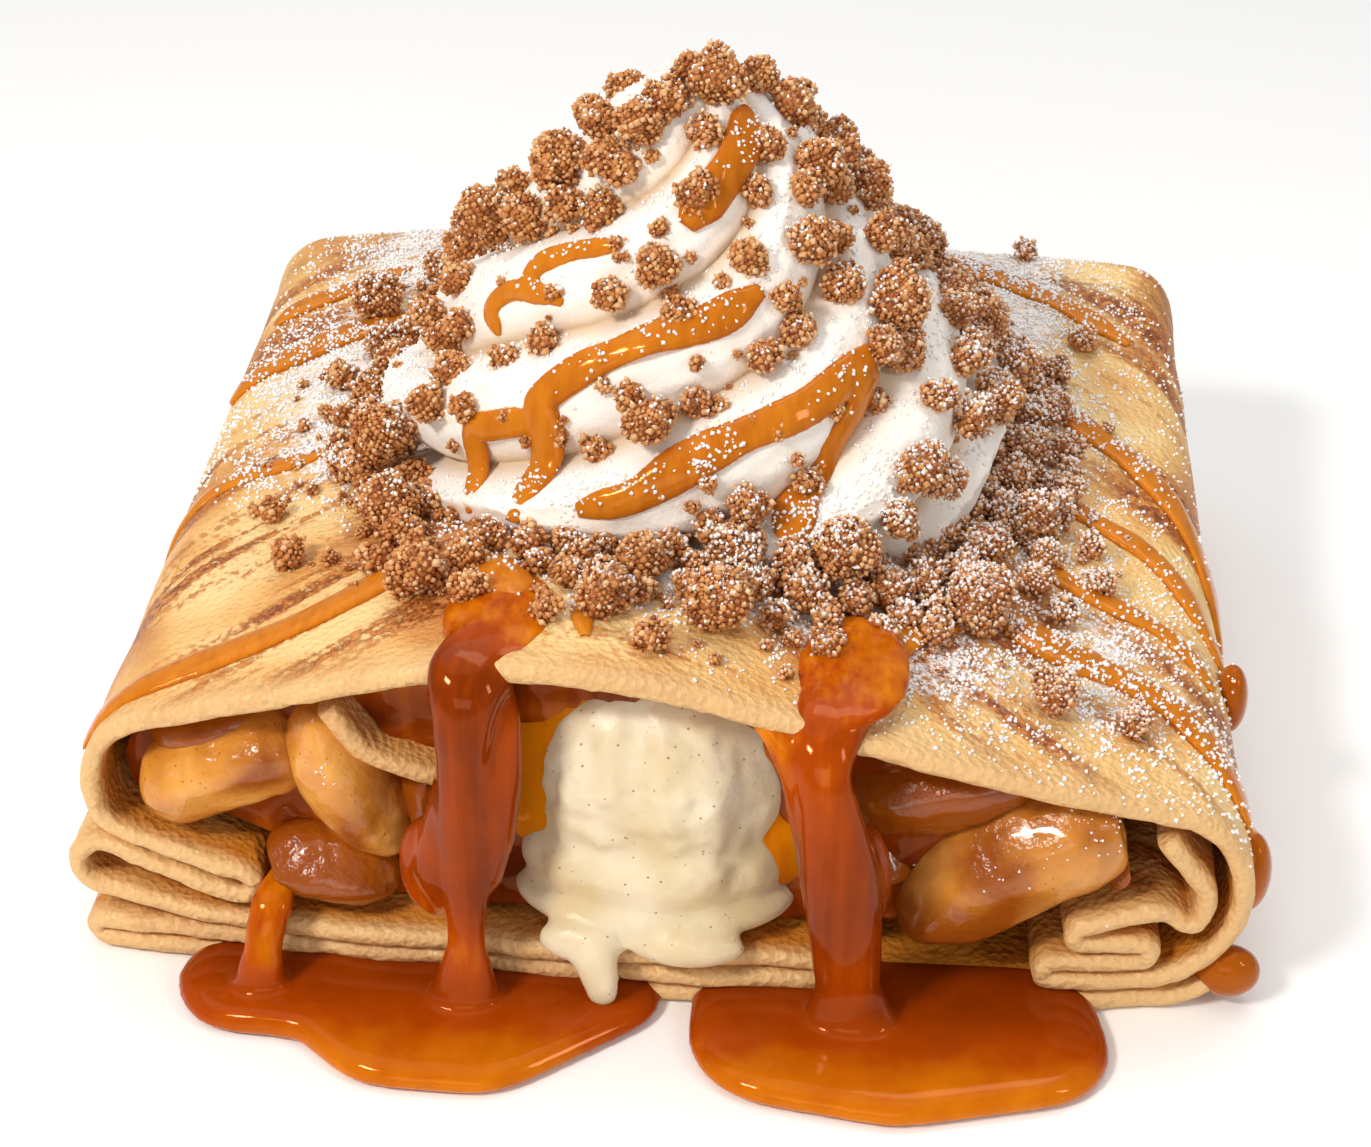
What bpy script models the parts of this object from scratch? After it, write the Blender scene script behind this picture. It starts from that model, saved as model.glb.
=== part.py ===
"""A rolled crepe with apple filling, whipped cream, caramel and crumble.

Lengths in the design values are millimetres and become metres as the meshes are built.
+X runs along the crepe's width, +Y away from its open front end, +Z up.
The origin is the middle of the flat underside.
"""
import math
import random
from functools import partial

import bmesh
import bpy
from mathutils import Vector
from mathutils.bvhtree import BVHTree

MM = 0.001

# The folded sheet
SHEET = 3.2            # thickness of the crepe
GAP = 0.4              # clearance between pieces that touch
LAYER = SHEET + GAP    # pitch of stacked layers
FRONT = 77.0           # front edge at the sides
FRONT_BULGE = 6.0      # how much further the front edge reaches in the middle
BACK = 67.0            # where the back starts to round off
BACK_ROUND = 10.0      # radius of the tucked-in back end
HALF_WIDTH = 89.0
HALF_HEIGHT = 29.0
BACK_WIDTH = 0.985     # width of the back, as a share of the front
BLEND_POWER = 1.4      # how late the front's form gives way to the back's

# The whipped cream
CREAM_PITCH = 17.0     # height from one ridge to the next
CREAM_STARTS = 6       # ridges that wind round together
CREAM_LOW = 42.0       # the blank starts here and is cut to the crepe's top
CREAM_TOP = 119.0
CREAM_CLEARANCE = 0.7  # radial clearance of what lies on the cream
CREAM_PROFILE = ((42, 47.5), (57, 48.5), (63, 49.0), (71, 44.5), (82, 36.0), (95, 26.0),
                 (104, 18.5), (111, 12.5), (116, 7.0), (119, 2.0))

# The scoop of ice cream
SCOOP_CENTRE = (-0.5, -65.5, 34.0)
SCOOP_RADII = (21.8, 17.6, 22.0)
SCOOP_REST = 10.8      # top of the folded layers below the scoop
SCOOP_RIDGE = 0.6
MELT = (((0.0, -76.0, 14.6), (20.0, 9.4, 3.6)), ((-8.0, -85.7, 10.0), (7.4, 2.0, 5.2)))

# The caramel pools, with the inset of their rounded edge at each height
POOL_HEIGHT = 4.2
POOL_STEPS = ((0.0, 0.0), (0.0, 1.4), (-0.9, 2.9), (-2.6, 3.8), (-6.5, POOL_HEIGHT))

BATTER = (0.80, 0.53, 0.24)
CREAM = (0.93, 0.89, 0.83)
ICE = (0.90, 0.80, 0.60)
AMBER = (0.42, 0.13, 0.02)
APPLE = (0.55, 0.25, 0.06)
BISCUIT = (0.47, 0.25, 0.11)

CW, CCW = -1, 1


def back_fold(pin):
    """A pin of the folds as it stands at the back of the crepe."""
    return (pin[0] * BACK_WIDTH, *pin[1:])


# The sheet's middle line runs like a belt round these pins: (x, z, radius, turn)
FREE_END = (87.4, 6.4)
INNER_END = (74.6, 31.6)
BOTTOM = SHEET / 2
HAIRPIN = LAYER / 2
UNDER_PINS = [
    (77.0, BOTTOM + 9.0, 9.0, CW),
    (-86.4, BOTTOM + HAIRPIN, HAIRPIN, CW),
    (25.0, BOTTOM + LAYER + HAIRPIN, HAIRPIN, CCW),
    (-68.0, BOTTOM + 2 * LAYER + 10.0, 10.0, CW),
    (-85.0, 16.0, 4.4, CW),
    (-63.6, 15.9, 2.6, CCW),
    (-79.6, 28.0, 5.0, CW),
]
ARCH_FRONT = [(-71.2, 31.5, 14.0, CW), (-14.0, -31.0, 90.0, CW), (72.6, 21.6, 14.4, CW)]
ARCH_BACK = [(-77.8, 44.0, 8.5, CW), (0.0, -343.0, 400.0, CW), (78.0, 43.5, 8.5, CW)]
RIGHT_PIN = (72.0, BOTTOM + LAYER + 15.0, 15.0, CW)
TUCKED_PINS = [
    (60.0, BOTTOM + LAYER + HAIRPIN, HAIRPIN, CW),
    (72.3, BOTTOM + 2 * LAYER + HAIRPIN, HAIRPIN, CCW),
    (64.0, BOTTOM + 3 * LAYER + HAIRPIN, HAIRPIN, CW),
    (74.5, 14.6, 3.6, CW),
    (79.4, 17.6, 1.9, CCW),
    (79.2, 21.6, 2.4, CCW),
]

# The outline round everything, for the back end and for fitting what lies on the crepe
OUTLINE_LEFT = [(-82.4, BOTTOM + 6.4, 6.4, CW), (-85.0, 16.0, 4.4, CW)]
OUTLINE_RIGHT = [RIGHT_PIN, (77.0, BOTTOM + 9.0, 9.0, CW)]


def tangent(first, second, offset):
    """Heading of the straight run from one pin to the next."""
    rho1 = first[3] * first[2] - offset
    rho2 = second[3] * second[2] - offset
    dx = second[0] - first[0]
    dz = second[1] - first[1]
    reach = math.hypot(dx, dz)
    lean = max(-1.0, min(1.0, (rho2 - rho1) / reach))
    return math.atan2(dz, dx) - math.asin(lean)


def sweep_angle(heading_in, heading_out, turn):
    """Signed angle that the belt turns through at a pin."""
    angle = (heading_out - heading_in) * turn % (2 * math.pi)
    if angle > 1.9 * math.pi:
        angle = 0.0
    return angle * turn


def belt(pins, offset=0.0, closed=False, start=None, end=None, counts=None, arc=42.0, chord=13.0,
         run=45.0):
    """Points along a belt round pins, moved to its left by offset, and the counts used."""
    chain = list(pins)
    if start:
        chain = [(*start, 0.0, 0)] + chain
    if end:
        chain = chain + [(*end, 0.0, 0)]
    pairs = list(zip(chain, chain[1:] + chain[:1]))
    if not closed:
        pairs = pairs[:-1]

    def reach(pin):
        return pin[3] * pin[2] - offset if pin[3] else -offset

    def place(pin, heading):
        rho = reach(pin)
        return (pin[0] + math.sin(heading) * rho, pin[1] - math.cos(heading) * rho)

    headings = []
    for first, second in pairs:
        if first[3] and second[3]:
            headings.append(tangent(first, second, offset))
        else:
            plain1 = first if first[3] else (*first[:2], 0.0, 1)
            plain2 = second if second[3] else (*second[:2], 0.0, 1)
            headings.append(tangent(plain1, plain2, offset))
    points = []
    used = []
    given = iter(counts) if counts else None
    for index, pin in enumerate(chain):
        if not closed and index == 0:
            points.append(place(pin, headings[0]))
        elif not closed and index == len(chain) - 1:
            points.append(place(pin, headings[-1]))
            break
        else:
            heading_in = headings[index - 1]
            angle = sweep_angle(heading_in, headings[index], pin[3])
            length = abs(angle) * pin[2]
            steps = max(1, round(abs(math.degrees(angle)) / arc), round(length / chord))
            if given:
                steps = next(given)
            used.append(steps)
            for step in range(steps + 1):
                points.append(place(pin, heading_in + angle * step / steps))
        following = chain[(index + 1) % len(chain)]
        there = place(following, headings[index])
        here = points[-1]
        pieces = max(1, round(math.dist(here, there) / run))
        if given:
            pieces = next(given)
        used.append(pieces)
        for step in range(1, pieces):
            share = step / pieces
            points.append((here[0] + (there[0] - here[0]) * share,
                           here[1] + (there[1] - here[1]) * share))
    return points, used


def paired_sections(front_pins, back_pins, offset=0.0, **options):
    """The belt at the front and at the back, with matching points."""
    front, counts = belt(front_pins, 0.0, **options)
    front, counts = belt(front_pins, offset, counts=counts, **options)
    back, counts = belt(back_pins, offset, counts=counts, **options)
    return front, back


def front_edge(x):
    """How far forward the open end reaches at x."""
    return -FRONT - FRONT_BULGE * (1 - (x / HALF_WIDTH) ** 2)


def settle(x, y, z):
    """The soft unevenness of the crepe's top."""
    rise = 0.7 * math.sin(x / 19.0 + 0.6) * math.cos(y / 27.0) + 0.5 * math.sin(y / 21.0 + x / 31.0)
    return (x, y, z + rise * (max(0.0, z) / 58.0) ** 2)


def station(front, back, share, inset=0.0, reach=0.0):
    """One cross-section of the crepe, as points in space."""
    wide = 1 - inset / HALF_WIDTH
    tall = 1 - inset / HALF_HEIGHT
    blend = max(0.0, share) ** BLEND_POWER
    ring = []
    for (x1, z1), (x2, z2) in zip(front, back):
        x = (x1 + (x2 - x1) * blend) * wide
        z = (z1 + (z2 - z1) * blend - HALF_HEIGHT) * tall + HALF_HEIGHT
        y = front_edge(x) * (1 - share) + BACK * share + reach
        ring.append(settle(x, y, z))
    return ring


def principled(name, colour, roughness, coat=0.0, translucent=0.0):
    """A material with one Principled shader."""
    material = bpy.data.materials.new(name)
    material.use_nodes = True
    shader = material.node_tree.nodes["Principled BSDF"]
    shader.inputs["Base Color"].default_value = (*colour, 1)
    shader.inputs["Roughness"].default_value = roughness
    shader.inputs["Metallic"].default_value = 0.0
    shader.inputs["Coat Weight"].default_value = coat
    shader.inputs["Subsurface Weight"].default_value = translucent
    material.diffuse_color = (*colour, 1)
    return material


MATERIALS = {
    "crepe": principled("crepe", BATTER, 0.6),
    "cream": principled("whipped_cream", CREAM, 0.55, translucent=0.2),
    "ice": principled("vanilla_ice_cream", ICE, 0.45, translucent=0.2),
    "caramel": principled("caramel", AMBER, 0.12, coat=0.6),
    "apple": principled("baked_apple", APPLE, 0.25, coat=0.4),
    "crumble": principled("crumble", BISCUIT, 0.8),
}


def new_object(name, bm, material=None, smooth=True):
    """An object from a bmesh in millimetres."""
    bmesh.ops.scale(bm, vec=(MM, MM, MM), verts=bm.verts)
    bmesh.ops.recalc_face_normals(bm, faces=bm.faces)
    if bm.calc_volume(signed=True) < 0:
        bmesh.ops.reverse_faces(bm, faces=bm.faces)
    mesh = bpy.data.meshes.new(name)
    bm.to_mesh(mesh)
    bm.free()
    if material:
        mesh.materials.append(MATERIALS[material])
    if smooth:
        mesh.shade_smooth()
        mesh.set_sharp_from_angle(angle=CREASE)
    thing = bpy.data.objects.new(name, mesh)
    bpy.context.scene.collection.objects.link(thing)
    return thing


def skin_rings(bm, rings):
    """Triangles between closed rings of equal length, across the shorter diagonals."""
    rows = [[bm.verts.new(point) for point in ring] for ring in rings]
    for row, following in zip(rows, rows[1:]):
        for i in range(len(row)):
            j = (i + 1) % len(row)
            one = (row[i].co - following[j].co).length
            two = (row[j].co - following[i].co).length
            if one < two:
                bm.faces.new((row[i], row[j], following[j]))
                bm.faces.new((row[i], following[j], following[i]))
            else:
                bm.faces.new((row[i], row[j], following[i]))
                bm.faces.new((row[j], following[j], following[i]))
    return rows


def loft(rings):
    """A closed bmesh skinned over rings, with flat ends."""
    bm = bmesh.new()
    rows = skin_rings(bm, rings)
    for row in (rows[0], rows[-1]):
        cap = bm.faces.new(row)
        bmesh.ops.triangulate(bm, faces=[cap])
    return bm


def blob(centre, radii, detail=2, seed=None, rough=0.0):
    """A bmesh of a ball stretched to radii, roughened when a seed is given."""
    bm = bmesh.new()
    bmesh.ops.create_icosphere(bm, subdivisions=detail, radius=1.0)
    draw = random.Random(seed)
    for vert in bm.verts:
        scale = 1 + (draw.uniform(-rough, rough) if seed is not None else 0.0)
        vert.co = Vector([centre[k] + vert.co[k] * radii[k] * scale for k in range(3)])
    return bm


def boolean(target, others, operation, solver="EXACT"):
    """Join the others to the target, or cut them from it, and remove them."""
    group = bpy.data.collections.new("operands")
    bpy.context.scene.collection.children.link(group)
    for other in others:
        bpy.context.scene.collection.objects.unlink(other)
        group.objects.link(other)
    modifier = target.modifiers.new("boolean", "BOOLEAN")
    modifier.operation = operation
    modifier.operand_type = "COLLECTION"
    modifier.collection = group
    modifier.solver = solver
    graph = bpy.context.evaluated_depsgraph_get()
    mesh = bpy.data.meshes.new_from_object(target.evaluated_get(graph))
    target.modifiers.clear()
    old = target.data
    target.data = mesh
    bpy.data.meshes.remove(old)
    for other in others:
        bpy.data.objects.remove(other)
    bpy.data.collections.remove(group)
    mesh.materials.clear()
    return target


def twin(thing):
    """A second object with the same mesh."""
    other = bpy.data.objects.new(thing.name, thing.data)
    bpy.context.scene.collection.objects.link(other)
    return other


def keep_largest(thing, material, flatten=0.0):
    """Drop loose scraps that a cut left and set the material and shading again."""
    bm = bmesh.new()
    bm.from_mesh(thing.data)
    bm.verts.ensure_lookup_table()
    unseen = set(bm.verts)
    shells = []
    while unseen:
        front = [unseen.pop()]
        shell = set(front)
        while front:
            vert = front.pop()
            for edge in vert.link_edges:
                other = edge.other_vert(vert)
                if other in unseen:
                    unseen.discard(other)
                    shell.add(other)
                    front.append(other)
        shells.append(shell)
    largest = max(shells, key=len)
    loose = [vert for shell in shells if shell is not largest for vert in shell]
    bmesh.ops.delete(bm, geom=loose, context="VERTS")
    if flatten:
        bmesh.ops.dissolve_limit(bm, angle_limit=math.radians(flatten), verts=bm.verts, edges=bm.edges)
    bmesh.ops.triangulate(bm, faces=bm.faces)
    bm.to_mesh(thing.data)
    bm.free()
    thing.data.materials.clear()
    thing.data.materials.append(MATERIALS[material])
    thing.data.shade_smooth()
    thing.data.set_sharp_from_angle(angle=CREASE)
    return thing


def surface(thing):
    """A search tree of an object's faces, in millimetres."""
    vertices = [vert.co / MM for vert in thing.data.vertices]
    faces = [tuple(face.vertices) for face in thing.data.polygons]
    return BVHTree.FromPolygons(vertices, faces)


# The crepe

FRONT_PINS = UNDER_PINS + ARCH_FRONT + [RIGHT_PIN] + TUCKED_PINS
BACK_PINS = [back_fold(pin) for pin in UNDER_PINS + ARCH_BACK + [RIGHT_PIN] + TUCKED_PINS]
OUTLINE_FRONT = OUTLINE_LEFT + ARCH_FRONT + OUTLINE_RIGHT
OUTLINE_BACK = [back_fold(pin) for pin in OUTLINE_LEFT + ARCH_BACK + OUTLINE_RIGHT]


# Where the cross-sections stand, as shares of the depth
SHEET_SHARES = (0.0, 0.04, 0.25, 0.5, 0.75, 1.0)
FORM_SHARES = (-0.12, 0.0, 0.04, 0.25, 0.5, 0.75, 1.0)
ROOM_SHARES = (-0.1, 0.0, 0.04, 0.25, 0.5)
FILLING_SHARES = (0.055, 0.25, 0.5, 0.75, 0.9)
TUCK_TURNS = (28, 55, 75, 90)      # degrees round the tucked-in back end
CREASE = math.radians(50)          # edges sharper than this shade as creases
FORM_CLEARANCE = SHEET / 2 + 1.8 * GAP


def crepe_sheet():
    """The one long sheet in its folds, open at the front."""
    upper = paired_sections(FRONT_PINS, BACK_PINS, -SHEET / 2, start=FREE_END, end=INNER_END)
    lower = paired_sections(FRONT_PINS, BACK_PINS, SHEET / 2, start=FREE_END, end=INNER_END)
    front = upper[0] + lower[0][::-1]
    back = upper[1] + lower[1][::-1]
    rings = [station(front, back, share) for share in SHEET_SHARES]
    for turn in TUCK_TURNS[:2]:
        angle = math.radians(turn)
        rings.append(station(front, back, 1.0, BACK_ROUND * (1 - math.cos(angle)),
                             BACK_ROUND * math.sin(angle)))
    count = len(upper[0])
    bm = bmesh.new()
    rows = skin_rings(bm, rings)
    for row in (rows[0], rows[-1]):
        for i in range(count - 1):
            bm.faces.new((row[i], row[i + 1], row[-2 - i], row[-1 - i]))
    return bm


def outline_block(offset, shares, rounding):
    """A solid block inside the crepe's outline, rounded off at the back."""
    front, back = paired_sections(OUTLINE_FRONT, OUTLINE_BACK, offset, closed=True)
    rings = [station(front, back, share) for share in shares]
    for turn in rounding:
        angle = math.radians(turn)
        rings.append(station(front, back, 1.0, BACK_ROUND * (1 - math.cos(angle)),
                             BACK_ROUND * math.sin(angle)))
    return loft(rings)


def add_crepe():
    """The sheet with its tucked-in back end."""
    crepe = new_object("crepe", crepe_sheet(), "crepe")
    tuck = new_object("tuck", outline_block(0.0, (0.93, 1.0), TUCK_TURNS))
    boolean(crepe, [tuck], "UNION")
    return keep_largest(crepe, "crepe")


def crepe_form():
    """The crepe's outer form with clearance, for fitting what lies on it."""
    block = new_object("crepe_form", outline_block(FORM_CLEARANCE, FORM_SHARES, TUCK_TURNS))
    rings = []
    for step in range(-8, 9):
        x = step * 13.0
        edge = front_edge(x) - GAP
        rings.append([(x, -120.0, -10.0), (x, edge, -10.0), (x, edge, 80.0), (x, -120.0, 80.0)])
    curtain = new_object("curtain", loft(rings))
    return boolean(block, [curtain], "DIFFERENCE", "MANIFOLD")


# The whipped cream


def cream_radius(height):
    """Mean radius of the cream at a height."""
    for (z1, r1), (z2, r2) in zip(CREAM_PROFILE, CREAM_PROFILE[1:]):
        if height <= z2:
            return r1 + (r2 - r1) * (height - z1) / (z2 - z1)
    return CREAM_PROFILE[-1][1]


def cream_point(angle, height, grow=0.0):
    """A point of the winding ridges."""
    phase = height / CREAM_PITCH - CREAM_STARTS * angle / (2 * math.pi)
    ridge = abs(math.sin(math.pi * phase)) ** 0.8
    share = (CREAM_TOP - height) / (CREAM_TOP - CREAM_LOW)
    depth = 1.2 + 5.0 * min(1.0, 1.6 * share)
    fade = 1.0 if height < CREAM_TOP - 12 else (CREAM_TOP - height) / 12
    radius = cream_radius(height) + (ridge - 0.5) * depth * max(0.2, fade) + grow
    flute = 0.7 * math.sin(8 * math.pi * phase)
    radius = max(1.2, radius + flute * fade)
    return (radius * math.cos(angle), radius * math.sin(angle), height)


def cream_solid(grow=0.0, around=36, rows=17):
    """The piped swirl, standing in the crepe and cut to its top later."""
    rings = []
    for row in range(rows):
        share = row / (rows - 1)
        height = CREAM_LOW + (CREAM_TOP - CREAM_LOW) * share
        rings.append([cream_point(2 * math.pi * i / around, height, grow) for i in range(around)])
    return loft(rings)


# Apples, sauce and ice cream


def slice_solid(start, end, y, width, depth, bend=0.0, lean=0.0, blunt=2.6, grow=0.0):
    """A wedge of apple between two places in the opening, thick on its outer side."""
    sides = 9
    rows = 8
    along = Vector((end[0] - start[0], 0.0, end[1] - start[1]))
    length = along.length + 2 * grow
    along.normalize()
    across = Vector((-along.z, 0.0, along.x))
    across = (across * math.cos(lean) + Vector((0, 1, 0)) * math.sin(lean)).normalized()
    outward = along.cross(across)
    middle = Vector(((start[0] + end[0]) / 2, y, (start[1] + end[1]) / 2))
    rings = []
    for row in range(rows):
        u = -1 + 2 * (row + 0.12) / (rows - 1 + 0.24)
        size = (1 - abs(u) ** blunt) ** 0.5
        centre = middle + along * (u * length / 2) + across * (bend * (u * u - 0.4))
        ring = []
        for side in range(sides):
            turn = 2 * math.pi * side / sides
            wide = math.cos(turn) * (width / 2 + grow)
            deep = math.sin(turn) * (depth / 2 + grow)
            wide *= 1 - 0.28 * math.sin(turn)
            ring.append(centre + (across * wide + outward * deep) * size)
        rings.append(ring)
    return loft(rings)


# Start and end in (x, z), place in y, width, depth, bend, lean, bluntness of the ends
APPLES = [
    ((-77.0, 37.5), (-56.5, 44.0), -69.0, 12.0, 14.0, 0.5, 0.0, 2.6),
    ((-77.5, 29.2), (-53.0, 40.2), -73.5, 15.0, 14.0, -0.8, 0.3, 5.0),
    ((-52.0, 47.0), (-40.0, 20.0), -74.0, 14.0, 14.0, 1.5, 0.2, 2.8),
    ((-61.5, 17.0), (-43.5, 15.8), -74.5, 12.5, 13.0, -0.5, 0.0, 3.0),
    ((-34.8, 38.0), (-33.0, 16.0), -71.5, 10.0, 12.0, 1.0, 0.0, 2.6),
    ((23.5, 31.5), (57.5, 38.5), -71.0, 14.0, 14.0, 1.0, 0.3, 2.6),
    ((36.5, 10.0), (69.5, 36.0), -74.5, 19.5, 15.5, -2.5, 0.25, 2.7),
    ((26.0, 22.5), (38.5, 21.0), -71.0, 9.0, 12.0, 0.0, 0.0, 2.8),
    ((67.6, 20.8), (71.4, 27.6), -73.0, 6.0, 9.0, 0.0, 0.0, 3.0),
]


def scoop_solid(grow=0.0, detail=3):
    """The scoop of ice cream, flat where it rests on the folded layers."""
    bm = blob(SCOOP_CENTRE, [r + grow for r in SCOOP_RADII], detail)
    for vert in bm.verts:
        if vert.co.y < SCOOP_CENTRE[1]:
            vert.co.y += SCOOP_RIDGE * math.sin(vert.co.x / 2.4)
        vert.co.z = max(vert.co.z, SCOOP_REST - grow)
    bmesh.ops.dissolve_limit(bm, angle_limit=math.radians(5), verts=bm.verts, edges=bm.edges)
    bmesh.ops.triangulate(bm, faces=bm.faces)
    return bm


FLAP_PINS = [(-36.5, 48.5, 9.0, CCW)]
FLAP_ENDS = ((-47.5, 49.2), (-28.5, 36.6))
FLAP_FRONT, FLAP_BACK = -78.5, -48.0


def flap_solid(grow=0.0):
    """The edge of an inner layer that hangs in the opening."""
    thick = SHEET / 2 + grow
    (x1, z1), (x2, z2) = FLAP_ENDS
    start = (x1 - grow, z1 + 2 * grow)
    end = (x2 + grow, z2 - grow)
    one = belt(FLAP_PINS, -thick, start=start, end=end, chord=5.0)
    two = belt(FLAP_PINS, thick, start=start, end=end, counts=one[1], chord=5.0)
    outline = one[0] + two[0][::-1]
    rings = [[(x, y, z) for x, z in outline] for y in (FLAP_FRONT - grow, FLAP_BACK + grow)]
    return loft(rings)


def near(one, other):
    """Whether two objects' boxes overlap."""
    for axis in range(3):
        first = [vert.co[axis] for vert in one.data.vertices]
        second = [vert.co[axis] for vert in other.data.vertices]
        if min(first) > max(second) or min(second) > max(first):
            return False
    return True


def add_pieces_inside(makers):
    """Each piece in the opening, kept inside the room and cut clear of those before it."""
    for index, (name, material, maker) in enumerate(makers):
        piece = new_object(name, maker(), material)
        boolean(piece, [new_object("room", room(ROOM_SHARES))], "INTERSECT")
        for earlier_name, earlier_material, earlier in makers[:index]:
            form = new_object("clearance", earlier(grow=GAP))
            if near(piece, form):
                boolean(piece, [form], "DIFFERENCE")
            else:
                bpy.data.objects.remove(form)
        keep_largest(piece, material, 5.0)


INSIDE = SHEET / 2 + 6.0 * GAP
ROOM_LEFT = [(-52.0, 14.4, 3.0, CW), (-63.6, 15.9, 2.6 + INSIDE, CCW),
             (-79.2, 28.4, 5.4 - INSIDE, CW)]
ROOM_RIGHT = [(64.5, 34.5, 3.0, CW), (67.0, 24.0, 3.0, CW),
              (64.0, BOTTOM + 3 * LAYER + HAIRPIN, HAIRPIN + INSIDE, CCW), (46.0, 14.4, 3.0, CW)]


def shrunk(pin):
    """A pin of the arch for the surface just inside the sheet."""
    return (pin[0], pin[1], pin[2] - INSIDE, pin[3])


def room(shares):
    """The space inside the crepe, with clearance, from front to back."""
    front_pins = ROOM_LEFT + [shrunk(pin) for pin in ARCH_FRONT[:2]] + ROOM_RIGHT
    back_pins = ROOM_LEFT + [shrunk(pin) for pin in ARCH_BACK[:2]] + ROOM_RIGHT
    back_pins = [back_fold(pin) for pin in back_pins]
    front, back = paired_sections(front_pins, back_pins, closed=True)
    return loft([station(front, back, share) for share in shares])


def add_filling(cutters):
    """The caramel sauce between the apples, through the whole roll."""
    filling = new_object("filling", room(FILLING_SHARES), "caramel")
    boolean(filling, cutters, "DIFFERENCE", "MANIFOLD")
    return keep_largest(filling, "caramel", 3.0)


# Caramel on and in front of the crepe


def tube(points, normals, radii, flat=1.0, sides=7):
    """A bmesh of a strand along points, flattened along the normals by flat."""
    rings = []
    places = [Vector(point) for point in points]
    for index, place in enumerate(places):
        ahead = places[min(index + 1, len(places) - 1)]
        behind = places[max(index - 1, 0)]
        along = (ahead - behind).normalized()
        side = along.cross(Vector(normals[index])).normalized()
        rise = side.cross(along)
        turns = [2 * math.pi * k / sides for k in range(sides)]
        rings.append([place + radii[index] * (side * math.cos(t) + rise * math.sin(t) * flat)
                      for t in turns])
    return loft(rings)


def pool(pins):
    """A puddle on the floor with a rounded edge."""
    outline, counts = belt(pins, 0.0, closed=True, arc=34.0, chord=9.0)
    rings = []
    for inset, height in POOL_STEPS:
        points, used = belt(pins, inset, closed=True, counts=counts)
        rings.append([(x, y, height) for x, y in points])
    return loft(rings)


LEFT_POOL = [
    (-64.5, -83.5, 9.0, CW), (-30.0, -74.0, 9.0, CW), (-7.0, -83.0, 8.5, CW), (-26.0, -90.5, 14.5, CW),
    (-38.0, -93.0, 11.5, CW), (-54.5, -100.5, 5.0, CCW), (-62.5, -85.0, 10.0, CW),
]
RIGHT_POOL = [
    (16.0, -84.0, 10.5, CW), (58.0, -82.0, 9.0, CW), (56.0, -89.0, 12.5, CW), (36.0, -90.5, 16.0, CW),
    (20.0, -89.5, 14.5, CW),
]

# Runs of caramel over the front edge: places from the top down, and the half width at each
LEFT_RUN = (((-20.0, -60.0, 60.5), (-22.5, -72.0, 60.6), (-25.0, -82.0, 58.5), (-25.2, -86.0, 54.0),
             (-25.5, -86.6, 47.0), (-26.5, -86.6, 36.0), (-26.8, -86.8, 26.0), (-27.3, -87.2, 14.0),
             (-28.0, -88.0, 3.0)),
            (4.0, 6.0, 6.4, 6.4, 5.0, 3.2, 2.8, 3.2, 5.0))
RIGHT_RUN = (((33.0, -56.0, 51.8), (28.0, -68.0, 52.6), (25.2, -79.5, 51.4), (25.2, -85.6, 47.0),
              (26.0, -86.2, 40.0), (27.2, -86.4, 30.0), (28.4, -86.8, 20.0), (29.2, -87.2, 10.0),
              (29.8, -88.0, 3.0)),
             (4.5, 6.5, 6.6, 6.2, 6.0, 5.9, 5.6, 5.6, 6.2))
SIDE_RUN = (((-58.5, -80.0, 19.0), (-58.5, -85.0, 14.0), (-58.8, -86.8, 8.0), (-59.2, -88.0, 2.5)),
            (2.6, 2.8, 3.0, 4.4))
RUN_FLATNESS = 0.62
LEFT_PATCHES = [((-23.5, -72.0, 59.6), (10.0, 12.0, 2.6))]
RIGHT_PATCHES = [((27.0, -69.0, 52.4), (9.5, 12.0, 2.4))]


def run_solid(places, radii):
    """A thick run of caramel that bends over the front edge and hangs down."""
    normals = []
    for x, y, z in places:
        hang = min(1.0, max(0.0, (-y - 72.0) / 13.0))
        normals.append((0.0, -math.sin(hang * math.pi / 2), math.cos(hang * math.pi / 2)))
    return tube(places, normals, radii, RUN_FLATNESS, 9)


def add_caramel(name, pins, runs, patches):
    """A pool on the floor with the runs of caramel that feed it."""
    pieces = [new_object("run", run_solid(*run)) for run in runs]
    pieces += [new_object("patch", blob(*patch, 2)) for patch in patches]
    caramel = new_object(name, pool(pins), "caramel")
    boolean(caramel, pieces, "UNION", "MANIFOLD")
    boolean(caramel, [crepe_form()], "DIFFERENCE", "MANIFOLD")
    return keep_largest(caramel, "caramel", 1.5)


# Thin drizzle, fused to what it lies on

# On the crepe: (x, y, z) of the route, put down on the surface, and the half width
CREPE_DRIZZLE = [
    (((-66, 46, 51), (-72, 43, 50), (-79, 38, 48)), 1.5),
    (((-62, 32, 51), (-72, 25, 48), (-84, 17, 43)), 2.6),
    (((-58, -9, 50), (-73, -17, 44), (-84, -23, 38), (-88, -30, 28)), 1.5),
    (((-40, -55, 56), (-55, -65, 51), (-70, -70, 44), (-82, -73, 36)), 2.3),
    (((44, 64, 56), (61, 55, 53), (76, 44, 50)), 2.0),
    (((58, 25, 52), (74, 9, 46), (84, -3, 42), (88, -16, 34)), 2.2),
    (((58, -5, 50), (74, -14, 44), (85, -28, 39), (89, -36, 30)), 1.9),
    (((64, -29, 47), (79, -34, 42), (87, -44, 36), (89, -50, 28)), 1.7),
    (((60, -47, 45), (75, -51, 41), (85, -60, 36), (90, -68, 25)), 2.5),
]
# Drops at the ends of the runs down the right side: place and radii
DROPS = [((87.4, -38.5, 32.0), (3.2, 4.0, 5.4)), ((88.6, -69.0, 23.0), (3.6, 4.4, 6.6)),
         ((87.0, -74.0, 6.4), (4.6, 3.6, 4.6))]

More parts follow.
